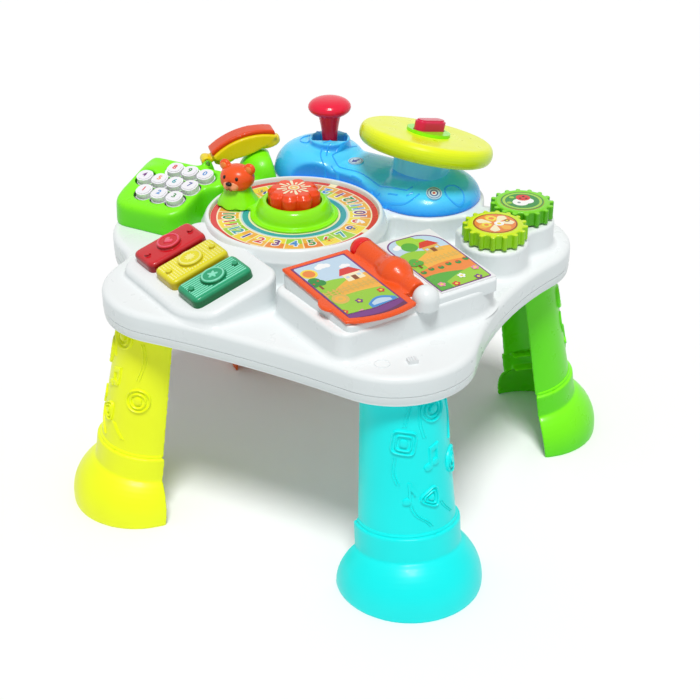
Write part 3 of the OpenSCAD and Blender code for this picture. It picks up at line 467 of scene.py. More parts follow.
def deck_d(x, y):
    """Distance to the raised deck under the dial, the book, the console and the gears."""
    d = circle_d(x, y, from_act(*DIAL_P), DIAL_R + 6)
    book = from_act(BOOK_P[0], BOOK_P[1] + 1)
    parts = [box_d(x, y, book, (PAGE_W + 23, PAGE_L / 2 + 6), 14, -ACT_YAW),
             circle_d(x, y, DOME_A_P, DOME_A_R + 4), circle_d(x, y, DOME_B_P, DOME_B_R + 4)]
    strip = shifted([(71, 0)], *DOME_B_P, 86)[0]
    parts.append(box_d(x, y, strip, (71, 44), 4, 86))
    rear = shifted([(GEAR_D, 0)], *GEAR_P, GEAR_A)[0]
    parts += [circle_d(x, y, GEAR_P, 37), circle_d(x, y, rear, 37)]
    parts.append(box_d(x, y, ((GEAR_P[0] + rear[0]) / 2, GEAR_P[1] + 13), (GEAR_D / 2, 34), 3, GEAR_A))
    for p in parts:
        d = join(d, p, 16)
    return -join(-d, -(body_d(x, y) + 6), 10)


def piano_d(x, y):
    """Distance to the block under the piano keys."""
    block = box_d(x, y, from_act(PIANO_P[0] + 3, PIANO_P[1] - 5), (53, 84), 20, -ACT_YAW)
    return -join(-block, -(body_d(x, y) + 5), 10)


def ledge_at(x, y):
    """Height of the ledge, which falls away in the rounding of the tray's edge."""
    near = min(EDGE_IN, max(0, -float(body_d(x, y))))
    return LEDGE_Z - EDGE_UP * (1 - math.sqrt(1 - (1 - near / EDGE_IN) ** 2))


def piano_lift(x, y, h):
    """Height on the piano block: h below its sloping top, or above 0 a share of the way up from the ledge."""
    u = to_act(x, y)[0]
    top = PIANO_Z + (u - PIANO_P[0]) * math.tan(math.radians(PIANO_TILT))
    return ledge_at(x, y) - 0.5 + (top - LEDGE_Z) * h if h > 0 else top + h


def book_lift(x, y, h):
    """Height h above the sloping pads under the book."""
    v = to_act(x, y)[1]
    top = DECK_Z + HINGE_H - PAGE_T / 2 - 2 + (v - BOOK_P[1]) * math.tan(math.radians(BOOK_TILT))
    return top + h


def build_tray():
    tray = Shape()
    body = even(max(contours(body_d, *TRAY_SPAN, 2), key=len), 3, 3)
    edge = [(4.5, UNDER_Z + 0.3), (1.6, UNDER_Z + 1.1), (0.5, UNDER_Z + 3.2), (0.4, WALL_BOTTOM - 0.5),
            (1.1, WALL_BOTTOM - 0.3), (1.1, WALL_BOTTOM + 0.3), (0.1, WALL_BOTTOM + 0.6),
            (0, WALL_BOTTOM + 6)] + rounding((EDGE_IN, EDGE_UP), LEDGE_Z, 8)
    tray.rings(slab(body, edge))
    flare = [(-6, LEDGE_Z - 0.5), (-3.2, LEDGE_Z + 0.8), (-1.2, LEDGE_Z + 2.8), (0, LEDGE_Z + 6)]
    for loop in contours(deck_d, *TRAY_SPAN, 1.5):
        if len(loop) > 60:  # leaves out the short loops of pockets between pedestals
            tray.rings(slab(even(loop, 2.5, 4), flare + rounding(4.5, DECK_Z)))
    for loop in contours(piano_d, *TRAY_SPAN, 1.5):
        steps = [(-5, 0.001), (-2.6, 0.06), (-1, 0.16), (0, 0.34)] + rounding(6, 0)
        tray.rings(slab(even(loop, 2.5, 3), steps, piano_lift))
    pads = [from_act(BOOK_P[0] + sx * (PAGE_W + 13), BOOK_P[1] + sy * (PAGE_L / 2 + 3))
            for sx, sy in ((-1, -1), (1, -1), (1, 1), (-1, 1))]
    tray.rings(slab(eased(pads, 8, 2.5), [(0, -14)] + rounding(2.2, 0), book_lift))
    return tray.piece("tray_top", "table", [LOOK["white_plastic"]], matrix=MODEL, slot="white_plastic")


tray = build_tray()
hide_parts("top_shell")
rim = Shape()
rim.lathe([(DIAL_R + 5.2, -2), (DIAL_R + 2.6, 3), (DIAL_R + 0.8, 7.6), (DIAL_R - 0.8, 9.6), (DIAL_R - 2.2, 10),
           (DIAL_R - 3.6, 9.6), (DIAL_R - 4.4, 8.2), (DIAL_R - 4.5, 3), (DIAL_R - 4.5, -2)], 128, close=True)
rim.piece("dial_rim", "table", [LOOK["white_plastic"]], matrix=AT_DIAL, slot="white_plastic")


# ---------------------------------------------------------------- softened CAD pieces
def soften(node, width):
    """Rounds a CAD node's sharp edges, as its mould would."""
    obj = frame["nodes"][node]
    merge = obj.modifiers.new("flat", "DECIMATE")
    merge.decimate_type = "DISSOLVE"
    merge.angle_limit = math.radians(0.6)
    ease = obj.modifiers.new("ease", "BEVEL")
    ease.width = width * MM
    ease.segments = 3
    ease.limit_method = "ANGLE"
    ease.angle_limit = math.radians(32)
    ease.use_clamp_overlap = True
    obj.modifiers.new("weight", "WEIGHTED_NORMAL").keep_sharp = False


def bake(obj):
    """Puts an object's modifiers into its mesh."""
    me = bpy.data.meshes.new_from_object(obj.evaluated_get(bpy.context.evaluated_depsgraph_get()))
    obj.modifiers.clear()
    obj.data = me
    return me


def melt(node, voxel, passes, keep=0.5, hold=None):
    """A copy of a CAD node with every edge eased, which stands for the node; below height hold it stays."""
    source = frame["nodes"][node]
    obj = add_object(node + "_skin", source.data.copy())
    grid = obj.modifiers.new("grid", "REMESH")
    grid.mode, grid.voxel_size = "VOXEL", voxel * MM
    bake(obj)
    ease = obj.modifiers.new("ease", "SMOOTH")
    ease.factor, ease.iterations = 0.5, passes
    if hold is not None:
        free = obj.vertex_groups.new(name="free")
        for v in obj.data.vertices:
            free.add([v.index], min(1, max(0, (v.co.z / MM - hold) / 10)), "REPLACE")
        ease.vertex_group = "free"
    thin = obj.modifiers.new("thin", "DECIMATE")
    thin.ratio = keep
    me = bake(obj)
    me.shade_smooth()
    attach(obj, source["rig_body"])
    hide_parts(node)
    return obj


SKIN = {row[0]: melt(*row) for row in (  # node, voxel, passes, share of faces kept, hold
    ("console_cover", 1.3, 24), ("phone_base", 1.4, 150, 0.5, 266), ("center_button", 0.9, 7), ("bear_ring", 1.0, 7),
    ("book_page", 0.9, 5), ("handset_shell", 1.0, 20), ("handset_back", 0.9, 20), ("hinge_post", 0.8, 5),
    ("spine_cap", 0.8, 5), ("horn_button", 0.4, 6), ("gear_front", 0.8, 4), ("gear_back", 0.8, 4))}
for leg in ("leg_orange", "leg_yellow", "leg_teal", "leg_green"):
    melt(leg, 1.2, 9)


def reshape(obj, matrix, rule):
    """Moves a skin's vertices by a rule on (x, y, z) in millimetres of a local frame."""
    back = matrix.inverted()
    for v in obj.data.vertices:
        x, y, z = (c / MM for c in back @ v.co)
        v.co = matrix @ (Vector(rule(x, y, z)) * MM)


def seat_rule(x, y, z):
    """Draws the bear's seat in, under its skirt."""
    r = math.hypot(x, y)
    if z < 9 or r > SEAT_R + 1.5 or r < 1:
        return x, y, z
    k = min(1, (float(np.interp(z, SKIRT_Z, SKIRT_R)) - 1.6) / r)
    return x * k, y * k, z


reshape(SKIN["bear_ring"], AT_BEAR, seat_rule)
for digit in "1234567890":
    soften("phone_key_" + digit, 1.2)
soften("wheel_hub", 0.8)
soften("power_switch", 0.5)


# ---------------------------------------------------------------- leg ornaments
def leg_radius(z):
    """Radius of a shin, which narrows from its collar to the tray."""
    return LEG_R_LOW - (LEG_R_LOW - LEG_R_TOP) * (z - COLLAR_TOP) / (UNDER_Z - 4 - COLLAR_TOP)


def on_leg(u, z, h):
    """A point u round the leg from its outer side, at height z, h above the skin."""
    r = leg_radius(z)
    a = u / r
    return ((r + h) * math.cos(a), (r + h) * math.sin(a), z)


def ridge(shape, path, width, height, place, closed=True, ident=0):
    """A half-round bead along a path, set on a surface by place(u, v, h)."""
    p = np.array(path, float)
    if closed:
        t = np.roll(p, -1, 0) - np.roll(p, 1, 0)
    else:
        t = np.gradient(p, axis=0)
    t /= np.linalg.norm(t, axis=1)[:, None] + 1e-12
    side = np.stack([t[:, 1], -t[:, 0]], 1)
    rings = []
    for d, h in ((-0.5, -0.4), (-0.36, 0.62), (0, 1), (0.36, 0.62), (0.5, -0.4)):
        q = p + side * d * width
        rings.append([place(u, v, h * height) for u, v in q])
    shape.rings(rings[::-1], cap_low=False, cap_high=False, closed=closed, ident=ident)


def build_up(shape, loop, levels, place, ident=0):
    """A raised pad: the loop at each (inset, height), set on a surface by place(u, v, h)."""
    shape.rings([[place(u, v, h) for u, v in inset(loop, d)] for d, h in levels], ident=ident)


def emboss(shape, loop, height, place):
    """A low pad with eased edges."""
    build_up(shape, loop, [(-0.3, -0.4 * height), (0, 0.5 * height), (0.35, 0.9 * height), (0.8, height)], place)


def regular(n, r):
    """A regular polygon with a corner straight up."""
    return [(r * math.cos(math.radians(90 + 360 * i / n)), r * math.sin(math.radians(90 + 360 * i / n)))
            for i in range(n)]


def curve(points, n=40):
    """A smooth line through points."""
    p = np.array(points, float)
    s = np.linspace(0, len(p) - 1, n)
    out = np.zeros((n, 2))
    for i, x in enumerate(s):
        k = min(int(x), len(p) - 2)
        f = x - k
        a, b, c, d = p[max(k - 1, 0)], p[k], p[k + 1], p[min(k + 2, len(p) - 1)]
        out[i] = 0.5 * (2 * b + (c - a) * f + (2 * a - 5 * b + 4 * c - d) * f * f + (3 * b - a - 3 * c + d) * f ** 3)
    return out


NOTE_HEAD = [(4.6 * math.cos(t) - 1.2 * math.sin(t), 1.4 * math.cos(t) + 3.4 * math.sin(t))
             for t in (2 * math.pi * i / 20 for i in range(20))]
FLAG = round_poly([(0, 0), (1.8, -4), (5.4, -8), (5.6, -14), (4.6, -10.5), (1.6, -7), (0, -5)], 1.2)
CURLS = (((-17, 194), (-12, 206), (-7, 220)), ((-30, 160), (-33, 146), (-28, 132)),
         ((-14, 108), (-8, 98), (4, 90), (10, 84)), ((26, 106), (34, 98), (44, 90)),
         ((3, 214), (2, 196), (6, 180)), ((50, 208), (56, 190), (52, 166)))  # degrees round the leg, height


def medal(s, loop_at, u, z, angle):
    """Two raised lines round a raised pad, all of one outline; loop_at(size) gives the outline."""
    for size in (13, 8.4):
        ridge(s, shifted(loop_at(size), u, z, angle), 2.8, 2.6, on_leg)
    emboss(s, shifted(loop_at(4.4), u, z, angle), 2.6, on_leg)


def ornaments(k, colour):
    """The raised circles, squares, wedges, notes and curls on a leg's shin, and the rim of its collar."""
    s, name = Shape(), "leg_" + colour

    def ring(size):
        return disc(0, 0, size, 40)

    def cushion(size):
        return eased(regular(4, size * 1.3), size * 0.5, 1.2)

    def wedge(size):
        return eased(regular(3, size * 1.24), size * 0.45, 1.2)

    def bar(u, z, rise, slope=0, width=2.8):
        emboss(s, [(u, z), (u + width, z + slope), (u + width, z + slope + rise), (u, z + rise)], 2.0, on_leg)

    deg = 49 * math.pi / 180  # one degree round the shin
    medal(s, ring, 21 * deg, 208, 0)
    medal(s, cushion, -17 * deg, 177, 33)
    medal(s, wedge, 13 * deg, 115, -28)
    medal(s, ring, 58 * deg, 142, 0)
    for u, z in ((11 * deg, 148), (21 * deg, 152)):
        emboss(s, shifted(NOTE_HEAD, u, z), 2.2, on_leg)
        bar(u + 1.8, z, 18)
    bar(11 * deg + 1.8, 162, 6, 4, 10 * deg + 2.8)
    emboss(s, shifted(NOTE_HEAD, -17 * deg, 114), 2.2, on_leg)
    bar(-17 * deg + 1.8, 114, 20)
    emboss(s, shifted(FLAG, -17 * deg + 3, 134), 1.9, on_leg)
    rim = [(math.radians(-96 + 4 * i) * 51, 75.6) for i in range(49)]
    ridge(s, rim, 4.4, 1.8, on_leg, closed=False)
    for line in CURLS:
        for off in (0, 3.6):
            path = [((a + off) * deg, z) for a, z in line]
            ridge(s, curve(path, 24), 1.6, 1.3, on_leg, closed=False)
    s.piece(name + "_ornament", "table", [LOOK[SLOT_OF[name]]], matrix=at_leg(k), slot=SLOT_OF[name])


for k, colour in enumerate(("orange", "yellow", "teal", "green")):
    ornaments(k, colour)


# ---------------------------------------------------------------- prints
def flat(name, body, matrix, layers, step=0.06, slot=None, base=0.0):
    """Printed shapes, each a little above the one before: (ink, loop) pairs in the plane z = base."""
    s, inks = Shape(), []
    for i, (ink, loop) in enumerate(layers):
        if ink not in inks:
            inks.append(ink)
        s.add([(x, y, base + step * i) for x, y in loop], [tuple(range(len(loop)))], inks.index(ink))
    return finish_piece(name, s.verts, s.faces, body, [INK[i] for i in inks], matrix=matrix, ids=s.ids, slot=slot)


def sector(r0, r1, a0, a1, n=6):
    return arc(0, 0, r1, a0, a1, n) + arc(0, 0, r0, a1, a0, n)


def number(text, size, body, matrix, ink, name, bold=0.016):
    """A plain numeral, lying in the plane of the matrix."""
    font = bpy.data.curves.new(name, "FONT")
    font.body, font.size = text, size * MM
    font.align_x, font.align_y = "CENTER", "CENTER"
    font.extrude, font.offset = 0.1 * MM, bold * size * MM
    obj = add_object(name + "_line", font)
    me = bpy.data.meshes.new_from_object(obj.evaluated_get(bpy.context.evaluated_depsgraph_get()))
    bpy.data.objects.remove(obj)
    me.transform(matrix)
    me.materials.clear()
    me.materials.append(INK[ink])
    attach(add_object(name, me), body)


def dial_print():
    """A fixed disc: four red bands, two rings of tiles, a teal band and the numbers 1 to 12 twice."""
    flat("dial_print_base", "table", AT_DIAL, [("cream", disc(0, 0, 92.9, 96))], base=PRINT_Z, slot="dial_print")
    layers = [("red", sector(86.2, 92.7, 31 + 90 * i, 115 + 90 * i, 20)) for i in range(4)]
    outer = ("orange", "amber", "orange", "yellow", "lime", "yellow", "amber")
    inner = ("yellow", "lime", "amber", "lime", "grass", "amber", "yellow")
    for i in range(24):
        a = 15 * i + 5
        layers.append((outer[i % 7], sector(73, 84.6, a + 0.5, a + 14.5, 4)))
        layers.append((inner[i % 7], sector(61.5, 73.1, a + 0.5, a + 14.5, 4)))
    layers += [("teal", sector(51, 57.5, 0, 359.9, 90)), ("sky", sector(57.5, 59.3, 0, 359.9, 90))]
    flat("dial_print_rings", "table", AT_DIAL, layers, step=0, base=PRINT_Z + 0.03, slot="dial_print")
    inks = ("purple", "blue", "leaf", "red", "teal", "navy", "red")
    for i in range(24):
        a = 15 * i + 12.5
        place = AT_DIAL @ turn(a) @ move(73.2, 0) @ turn(90)
        digit = str(i % 12 + 1)
        number(digit, 19, "table", place @ move(0, 0, PRINT_Z + 0.07), "white", f"dial_halo_{i + 1}", 0.07)
        number(digit, 17.5, "table", place @ move(0, 0, PRINT_Z + 0.13), inks[i % 7], f"dial_number_{i + 1}", 0.028)


dial_print()

KEY_INKS = ("red", "blue", "leaf", "purple", "orange", "teal", "navy", "red", "leaf", "blue")
KEY_PLACES = [(row * FROW_PITCH, left - j * FKEY_PITCH) for row, left, count in KEY_ROWS for j in range(count)]
for n, (x, y) in enumerate(KEY_PLACES):
    digit = str((n + 1) % 10)
    number(digit, 10, "digit_" + digit, AT_PHONE @ move(x, y, FKEY_TOP + 0.1) @ turn(-90), KEY_INKS[n],
           "key_number_" + digit)


# ---------------------------------------------------------------- bear
def blob(name, parts, body, look, matrix, voxel=0.9, stands_for=None, slot=None):
    """Ellipsoids grown into one another: (centre, radii) in millimetres."""
    s = Shape()
    for centre, radii in parts:
        rings = []
        for i in range(1, 16):
            lat = math.radians(-90 + 11.25 * i)
            rings.append([(centre[0] + radii[0] * math.cos(lat) * math.cos(a),
                           centre[1] + radii[1] * math.cos(lat) * math.sin(a),
                           centre[2] + radii[2] * math.sin(lat)) for a in
                          (2 * math.pi * j / 32 for j in range(32))])
        s.rings(rings, cap_low=True)
    obj = s.piece(name, body, [look], matrix=matrix, slot=slot, angle=180)
    if len(parts) > 1:
        grid = obj.modifiers.new("grid", "REMESH")
        grid.mode, grid.voxel_size, grid.use_smooth_shade = "VOXEL", voxel * MM, True
        ease = obj.modifiers.new("ease", "SMOOTH")
        ease.factor, ease.iterations = 0.5, 5
        bake(obj).shade_smooth()
    if stands_for:
        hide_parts(stands_for)
    return obj


skirt = Shape()
rings = []
for z, r in zip(SKIRT_Z + (28.6, 27, 20, 12), SKIRT_R + (11.5, 9.4, 9.4, 12)):
    ring = []
    for i in range(120):
        a = 2 * math.pi * i / 120
        wave = abs(math.cos(4 * a))
        drop = max(0, 1 - (z - 7) / 12)
        k = r * (1 + 0.05 * wave * drop)
        ring.append((k * math.cos(a), k * math.sin(a), z + 2.2 * (1 - wave) * drop if z < 9.5 else z))
    rings.append(ring)
skirt.rings(rings, cap_high=False)
skirt.piece("bear_skirt", "bear", [LOOK["lime_plastic"]], matrix=AT_BEAR, slot="lime_plastic", angle=50)
blob("bear_figure", [((0, 0, HEAD_Z), (17.8, 20, 15)), ((4, 0, HEAD_Z - 4), (13, 18.5, 10)),
                     ((-1, 15.5, HEAD_Z + 12), (4.2, 7, 6.8)), ((-1, -15.5, HEAD_Z + 12), (4.2, 7, 6.8)),
                     ((0, 0, 26), (11.5, 12.5, 5)), ((0, 0, 23), (9, 9, 4))],
     "bear", LOOK["bear_plastic"], AT_BEAR, stands_for="bear_head", slot="bear_plastic")
blob("bear_snout", [((13.4, 0, HEAD_Z - 4.2), (6.5, 10, 6.6)), ((15.4, 4.2, HEAD_Z - 5.4), (4.6, 4.8, 4.2)),
                    ((15.4, -4.2, HEAD_Z - 5.4), (4.6, 4.8, 4.2))],
     "bear", LOOK["muzzle_plastic"], AT_BEAR, voxel=0.6, stands_for="bear_muzzle", slot="muzzle_plastic")
blob("bear_nose", [((19.6, 0, HEAD_Z - 0.8), (2.6, 3.8, 2.4))], "bear", INK["black"], AT_BEAR)
for side in (-1, 1):
    blob(f"bear_eye_{side + 1}", [((15, side * 7.6, HEAD_Z + 4.4), (1.7, 1.9, 2.4))], "bear", INK["black"], AT_BEAR)
    blob(f"bear_inner_ear_{side + 1}", [((2.4, side * 15.7, HEAD_Z + 12), (1.6, 4, 4))], "bear", INK["orange"],
         AT_BEAR)
smile = Shape()
for side in (-1, 1):
    path = [(side * (0.2 + 4.6 * t), HEAD_Z - 6 - 2.6 * math.sin(math.pi * t)) for t in (i / 10 for i in range(11))]
    ridge(smile, path[::side], 1.0, 0.6, lambda u, v, h: (20.1 - 0.075 * u * u + h, u, v), closed=False)
smile.piece("bear_smile", "bear", [INK["brown"]], matrix=AT_BEAR)


# ---------------------------------------------------------------- pictures
def mirrored(loop):
    return [(-x, y) for x, y in reversed(loop)]


def clip(loop, region):
    """The part of a loop inside a convex region that turns left."""
    out = [tuple(p) for p in loop]
    for i in range(len(region)):
        (ax, ay), (bx, by) = region[i], region[(i + 1) % len(region)]
        kept, prev = [], out[-1] if out else None
        for p in out:
            d, e = ((bx - ax) * (q[1] - ay) - (by - ay) * (q[0] - ax) for q in (p, prev))
            if (d >= 0) != (e >= 0):
                t = e / (e - d)
                kept.append((prev[0] + (p[0] - prev[0]) * t, prev[1] + (p[1] - prev[1]) * t))
            if d >= 0:
                kept.append(p)
            prev = p
        out = kept
        if not out:
            break
    return out


def rect(x, y, w, h):
    return [(x, y), (x + w, y), (x + w, y + h), (x, y + h)]


def hill(x0, x1, y, rise, low):
    return [(x0, low), (x1, low)] + [(x1 + (x0 - x1) * i / 24, y + rise * math.sin(math.pi * i / 24)) for i in
                                     range(25)]


def flower(x, y, r, ink):
    return [(ink, disc(x + r * math.cos(a), y + r * math.sin(a), r * 0.62, 12)) for a in
            (2 * math.pi * i / 5 for i in range(5))] + [("yellow", disc(x, y, r * 0.6, 12))]


def tree(x, y, k, ink="leaf"):
    return [("brown", rect(x - 1.6 * k, y, 3.2 * k, 12 * k)), (ink, disc(x - 5 * k, y + 14 * k, 6.5 * k)),
            (ink, disc(x + 5 * k, y + 14 * k, 6.5 * k)), (ink, disc(x, y + 20 * k, 8 * k)),
            ("red", disc(x - 4 * k, y + 15 * k, 1.5 * k, 10)), ("red", disc(x + 4 * k, y + 19 * k, 1.5 * k, 10))]


def house(x, y, k, wall):
    roof = [(x - 3 * k, y + 14 * k), (x + 25 * k, y + 14 * k), (x + 17 * k, y + 26 * k), (x + 5 * k, y + 26 * k)]
    return [(wall, rect(x, y, 22 * k, 15 * k)), ("red", roof),
            ("brown", rect(x + 8 * k, y, 6 * k, 9 * k)), ("sky", rect(x + 2 * k, y + 6 * k, 4 * k, 4 * k)),
            ("sky", rect(x + 16 * k, y + 6 * k, 4 * k, 4 * k))]


def fence(x0, x1, y, k=1.0):
    rails = [("straw", rect(x0, y + h * k, x1 - x0, 1.6 * k)) for h in (2.5, 6.5)]
    return rails + [("straw", rect(x, y, 2 * k, 11 * k)) for x in np.arange(x0, x1, 6 * k)]


def cloud(x, y, k):
    return [("white", disc(x + u * k, y + v * k, r * k)) for u, v, r in ((0, 0, 4), (5, 1.5, 5), (10, 0, 4))]


def picture(name, body, matrix, region, layers, base):
    """A print with a border line, its shapes cut off at the region's edge."""
    inner = [tuple(p) for p in inset(region, 1.8)]
    cut = [("purple", region)] + [(ink, clip(loop, inner)) for ink, loop in layers]
    flat(name, body, matrix, [(ink, loop) for ink, loop in cut if len(loop) > 2], 0.012, "book_print", base)


def page_region(edge, low_bulge):
    """Outline of the left page's picture, turning left."""
    outer, inner = PAGE_W + 14 - edge, SPINE_R + 4.6
    top, low = PAGE_L / 2 - edge, -PAGE_L / 2 + edge
    n = 16
    near = [(-outer + (outer - inner) * i / n, low - low_bulge * math.sin(math.pi * (0.12 + 0.76 * i / n)))
            for i in range(n + 1)]
    loop = near + [(-inner, top - 3), (-inner - 3, top), (-outer + 3, top), (-outer, top - 3)]
    return loop


LEFT = page_region(6.4, 10)
RIGHT = [(23, -55), (86, -55), (88, -53), (89.4, -20)] + arc(63, 26, 27, 0, 90, 10) + arc(43, 35, 19, 90, 180, 8)
farm = [("sky", rect(-100, -80, 90, 160))] + cloud(-62, 40, 1.0) + cloud(-40, 30, 0.7)
farm += [("yellow", disc(-77, 34, 9)), ("orange", disc(-77, 34, 6.6))]
farm += [("grass", hill(-110, -30, 2, 12, -80)), ("amber", hill(-70, 10, -4, 14, -80))]
farm += house(-50, 2, 0.95, "cream") + tree(-80, 2, 0.85) + fence(-92, -20, -14)
farm += [("grass", hill(-120, 0, -30, 12, -80)), ("straw", disc(-76, -22, 9)), ("amber", disc(-76, -22, 5.5)),
         ("straw", disc(-76, -22, 2.4))]
farm += [("blue", hill(-58, -26, -44, 8, -52)), ("sky", hill(-54, -32, -44, 4.5, -48))]
for x, y, ink in ((-86, -44, "red"), (-70, -52, "pink"), (-62, -34, "purple"), (-32, -28, "red"), (-84, -58, "pink")):
    farm += flower(x, y, 2.6, ink)
picture("book_picture_left", "page", AT_BOOK, LEFT, farm, PAGE_T / 2 - 0.05)
picture("book_picture_turned", "page", AT_BOOK @ turn(180, "Y"), mirrored(LEFT),
        [(ink, mirrored(loop)) for ink, loop in farm], PAGE_T / 2 - 0.05)

garden = [("sky", rect(10, -70, 90, 140))] + cloud(34, 38, 0.9)
garden += [("lime", disc(52, 44, 12)), ("lime", disc(62, 36, 10)), ("green", disc(48, 34, 9))]
garden += [("grass", hill(10, 70, 12, 14, -70)), ("amber", hill(40, 110, 8, 12, -70))]
garden += house(58, 14, 0.9, "straw")
garden += fence(22, 90, -4, 0.9) + [("orange", hill(10, 110, -20, 12, -70)), ("green", hill(-10, 80, -36, 12, -70)),
                                    ("grass", hill(40, 130, -42, 12, -70))]
for i in range(6):
    x, y = 30 + 11 * i, -16 + 2 * (i % 2)
    garden += [("leaf", disc(x, y, 3.4, 12)), ("red", disc(x, y + 2, 1.5, 10))]
for x, y, ink in ((32, -44, "pink"), (46, -50, "red"), (60, -40, "white"), (74, -50, "purple"), (82, -34, "pink")):
    garden += flower(x, y, 2.8, ink)
garden += tree(34, -8, 0.7, "green")
picture("book_picture_right", "table", AT_BOOK, RIGHT, garden, -PAGE_T / 2 - 0.58)
picture("book_picture_under", "table", AT_BOOK, mirrored(RIGHT), [(ink, mirrored(loop)) for ink, loop in garden],
        -PAGE_T / 2 - 0.58)

GEAR_TOP = GEAR_T + 1.95
PETAL = round_poly([(4, -1), (17, -6), (22, 0), (17, 6), (4, 1)], 3)
front = [("brown", disc(0, 0, GEAR_LABEL_R - 0.2, 48)), ("orange", disc(0, 0, GEAR_LABEL_R - 1.6, 48))]
front += [(("cream", "amber")[i % 2], shifted(PETAL, 0, 0, 360 * i / 7)) for i in range(7)]
front += [(ink, disc(x, y, r)) for ink, x, y, r in (
    ("yellow", -9, 6, 5.4), ("yellow", 8, 9, 6.2), ("white", 1, -4, 5.4), ("orange", 8, 9, 3),
    ("orange", -9, 6, 2.6), ("yellow", 1, -4, 2.4), ("brown", 12, -8, 3), ("yellow", 12, -8, 1.6))]
flat("gear_front_print", "gear_a", at_gear(0), front, step=0.02, base=GEAR_TOP, slot="gear_print")
rear = [("leaf", disc(0, 0, GEAR_LABEL_R - 0.2, 48)), ("lime", disc(0, 0, GEAR_LABEL_R - 2, 48)),
        ("leaf", disc(0, 0, GEAR_LABEL_R - 5, 48)), ("white", disc(-4, 0, 9)), ("white", disc(3, -5, 7)),
        ("red", disc(8, 3, 8)), ("black", disc(5, 5, 1.5, 12)), ("black", disc(11, 4, 1.5, 12)),
        ("black", disc(8, -1, 1.5, 12)), ("grey", disc(-6, 1, 2, 12)), ("grass", disc(-12, 10, 3)),
        ("grass", disc(2, 14, 3))]
flat("gear_back_print", "gear_b", at_gear(1), rear, step=0.02, base=GEAR_TOP, slot="gear_print")

burst = []
for i in range(16):
    r0, r1, w = (7.6, 18, 1.7) if i % 2 else (8.6, 13.5, 1.4)
    ray = [(r0, -w * 0.6), (r1, -w), (r1 + 1.5, 0), (r1, w), (r0, w * 0.6)]
    burst.append(("cream", shifted(ray, 0, 0, 22.5 * i)))
burst += [("cream", disc(0, 0, 6.4)), ("amber", disc(0, 0, 4.6)), ("cream", disc(0, 0, 2, 12))]
flat("button_print", "button", AT_DIAL, burst, step=0.01, base=38.1, slot="button_plastic")

arrow = [(-5, -1.6), (0.5, -1.6), (0.5, -4.4), (6, 0), (0.5, 4.4), (0.5, 1.6), (-5, 1.6)]
for i, (x, y, z, way, tilt) in enumerate(BADGES):
    place = MODEL @ move(x, y, DECK_Z + z - 1.2) @ turn(way) @ turn(tilt, "Y") @ turn(150 - way) @ move(0, 0, 2.15)
    mark = [("sky", disc(0, 0, 8.6, 36)), ("navy", disc(0, 0, 7.6, 36)), ("sky", disc(0, 0, 6.9, 36))]
    target = [("navy", disc(0, 0, 4.6)), ("white", disc(0, 0, 3.2)), ("red", disc(0, 0, 1.6, 12))]
    mark += target if i else [("navy", arrow)]
    flat(f"console_badge_print_{i}", "table", place, mark, step=0.02, slot="badge_print")


# ---------------------------------------------------------------- piano keys
def polar(rule, n):
    """A closed outline of radius rule(angle)."""
    return [(rule(t) * math.cos(t), rule(t) * math.sin(t)) for t in (2 * math.pi * i / n for i in range(n))]


HEART = [(0.336 * 16 * math.sin(t) ** 3, 0.34 * (13 * math.cos(t) - 5 * math.cos(2 * t) - 2 * math.cos(3 * t) -
          math.cos(4 * t))) for t in (-2 * math.pi * i / 36 for i in range(36))]
SUN = polar(lambda t: 6.4 if round(9 * t / math.pi) % 2 else 4.2, 18)
BLOOM = polar(lambda t: 4.6 + 1.5 * math.cos(5 * t), 50)


def piano_key(k, colour, mark, painted_highlight):
    """A pillow-shaped key with a medallion, two studs and its own surface pattern; the raised relief takes a lighter
    colour, a painted highlight.
    """
    s = Shape()

    def at(u, v, h):
        return (u, v + k * PKEY_PITCH, PKEY_H + h)

    plan = eased(rect(-PKEY_L / 2, -PKEY_W / 2, PKEY_L, PKEY_W), 8, 2)
    build_up(s, plan, [(0, -14), (0, -5)] + rounding((4.6, 4.4), 0, 6), at)
    for r, x, top in ((13.5, 0, 3.4), (3.4, PKEY_L / 2 - 9, 2.6), (3.4, 9 - PKEY_L / 2, 2.6)):
        build_up(s, disc(x, 0, r, 40), [(-0.8, -0.3), (-0.3, 0.1), (0, 0.6), (0.1, top - 0.5), (0.6, top)], at)
    ridge(s, disc(0, 0, 11.4, 40), 2.2, 1.2, lambda u, v, h: at(u, v, 3.4 + h), ident=1)
    build_up(s, shifted(mark, 0, 0, -90), [(0, 3.2), (0.2, 4.2), (0.7, 4.5)], at, ident=1)
    rows = np.arange(-15.3, 15.4, 3.4)
    if colour == "green":
        for v in rows:
            cut = math.sqrt(max(0, 14.6 ** 2 - v * v))
            for u0, u1 in ((-31, -cut), (cut, 31)) if cut else ((-31, 31),):
                ridge(s, [(u0 + (u1 - u0) * i / 12, v) for i in range(13)], 1.9, 1.0, at, closed=False, ident=1)
    if colour == "yellow":
        for v in rows:
            for u in np.arange(-30.6, 30.7, 3.4):
                if u * u + v * v > 14.8 ** 2 and math.hypot(abs(u) - PKEY_L / 2 + 9, v) > 4.4:
                    s.rings([[at(x, y, h) for x, y in disc(u, v, r, 8)] for r, h in
                             ((1.35, -0.1), (1.0, 0.6), (0.45, 1.0))], ident=1)
    top = s.piece("piano_key_top_" + colour, "key_" + colour, [LOOK["key_" + colour], painted_highlight], matrix=AT_PIANO,
                  slot="key_" + colour)
    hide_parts("piano_key_" + colour)


# The relief on each key is a lighter colour: a painted highlight on its raised parts.
piano_key(1, "red", HEART, plastic("painted_highlight_red", "ee5c74", 0.25, 0.5))
piano_key(0, "yellow", SUN, plastic("painted_highlight_yellow", "f6f088", 0.25, 0.4))
piano_key(-1, "green", BLOOM, plastic("painted_highlight_green", "8ce8c6", 0.25, 0.4))

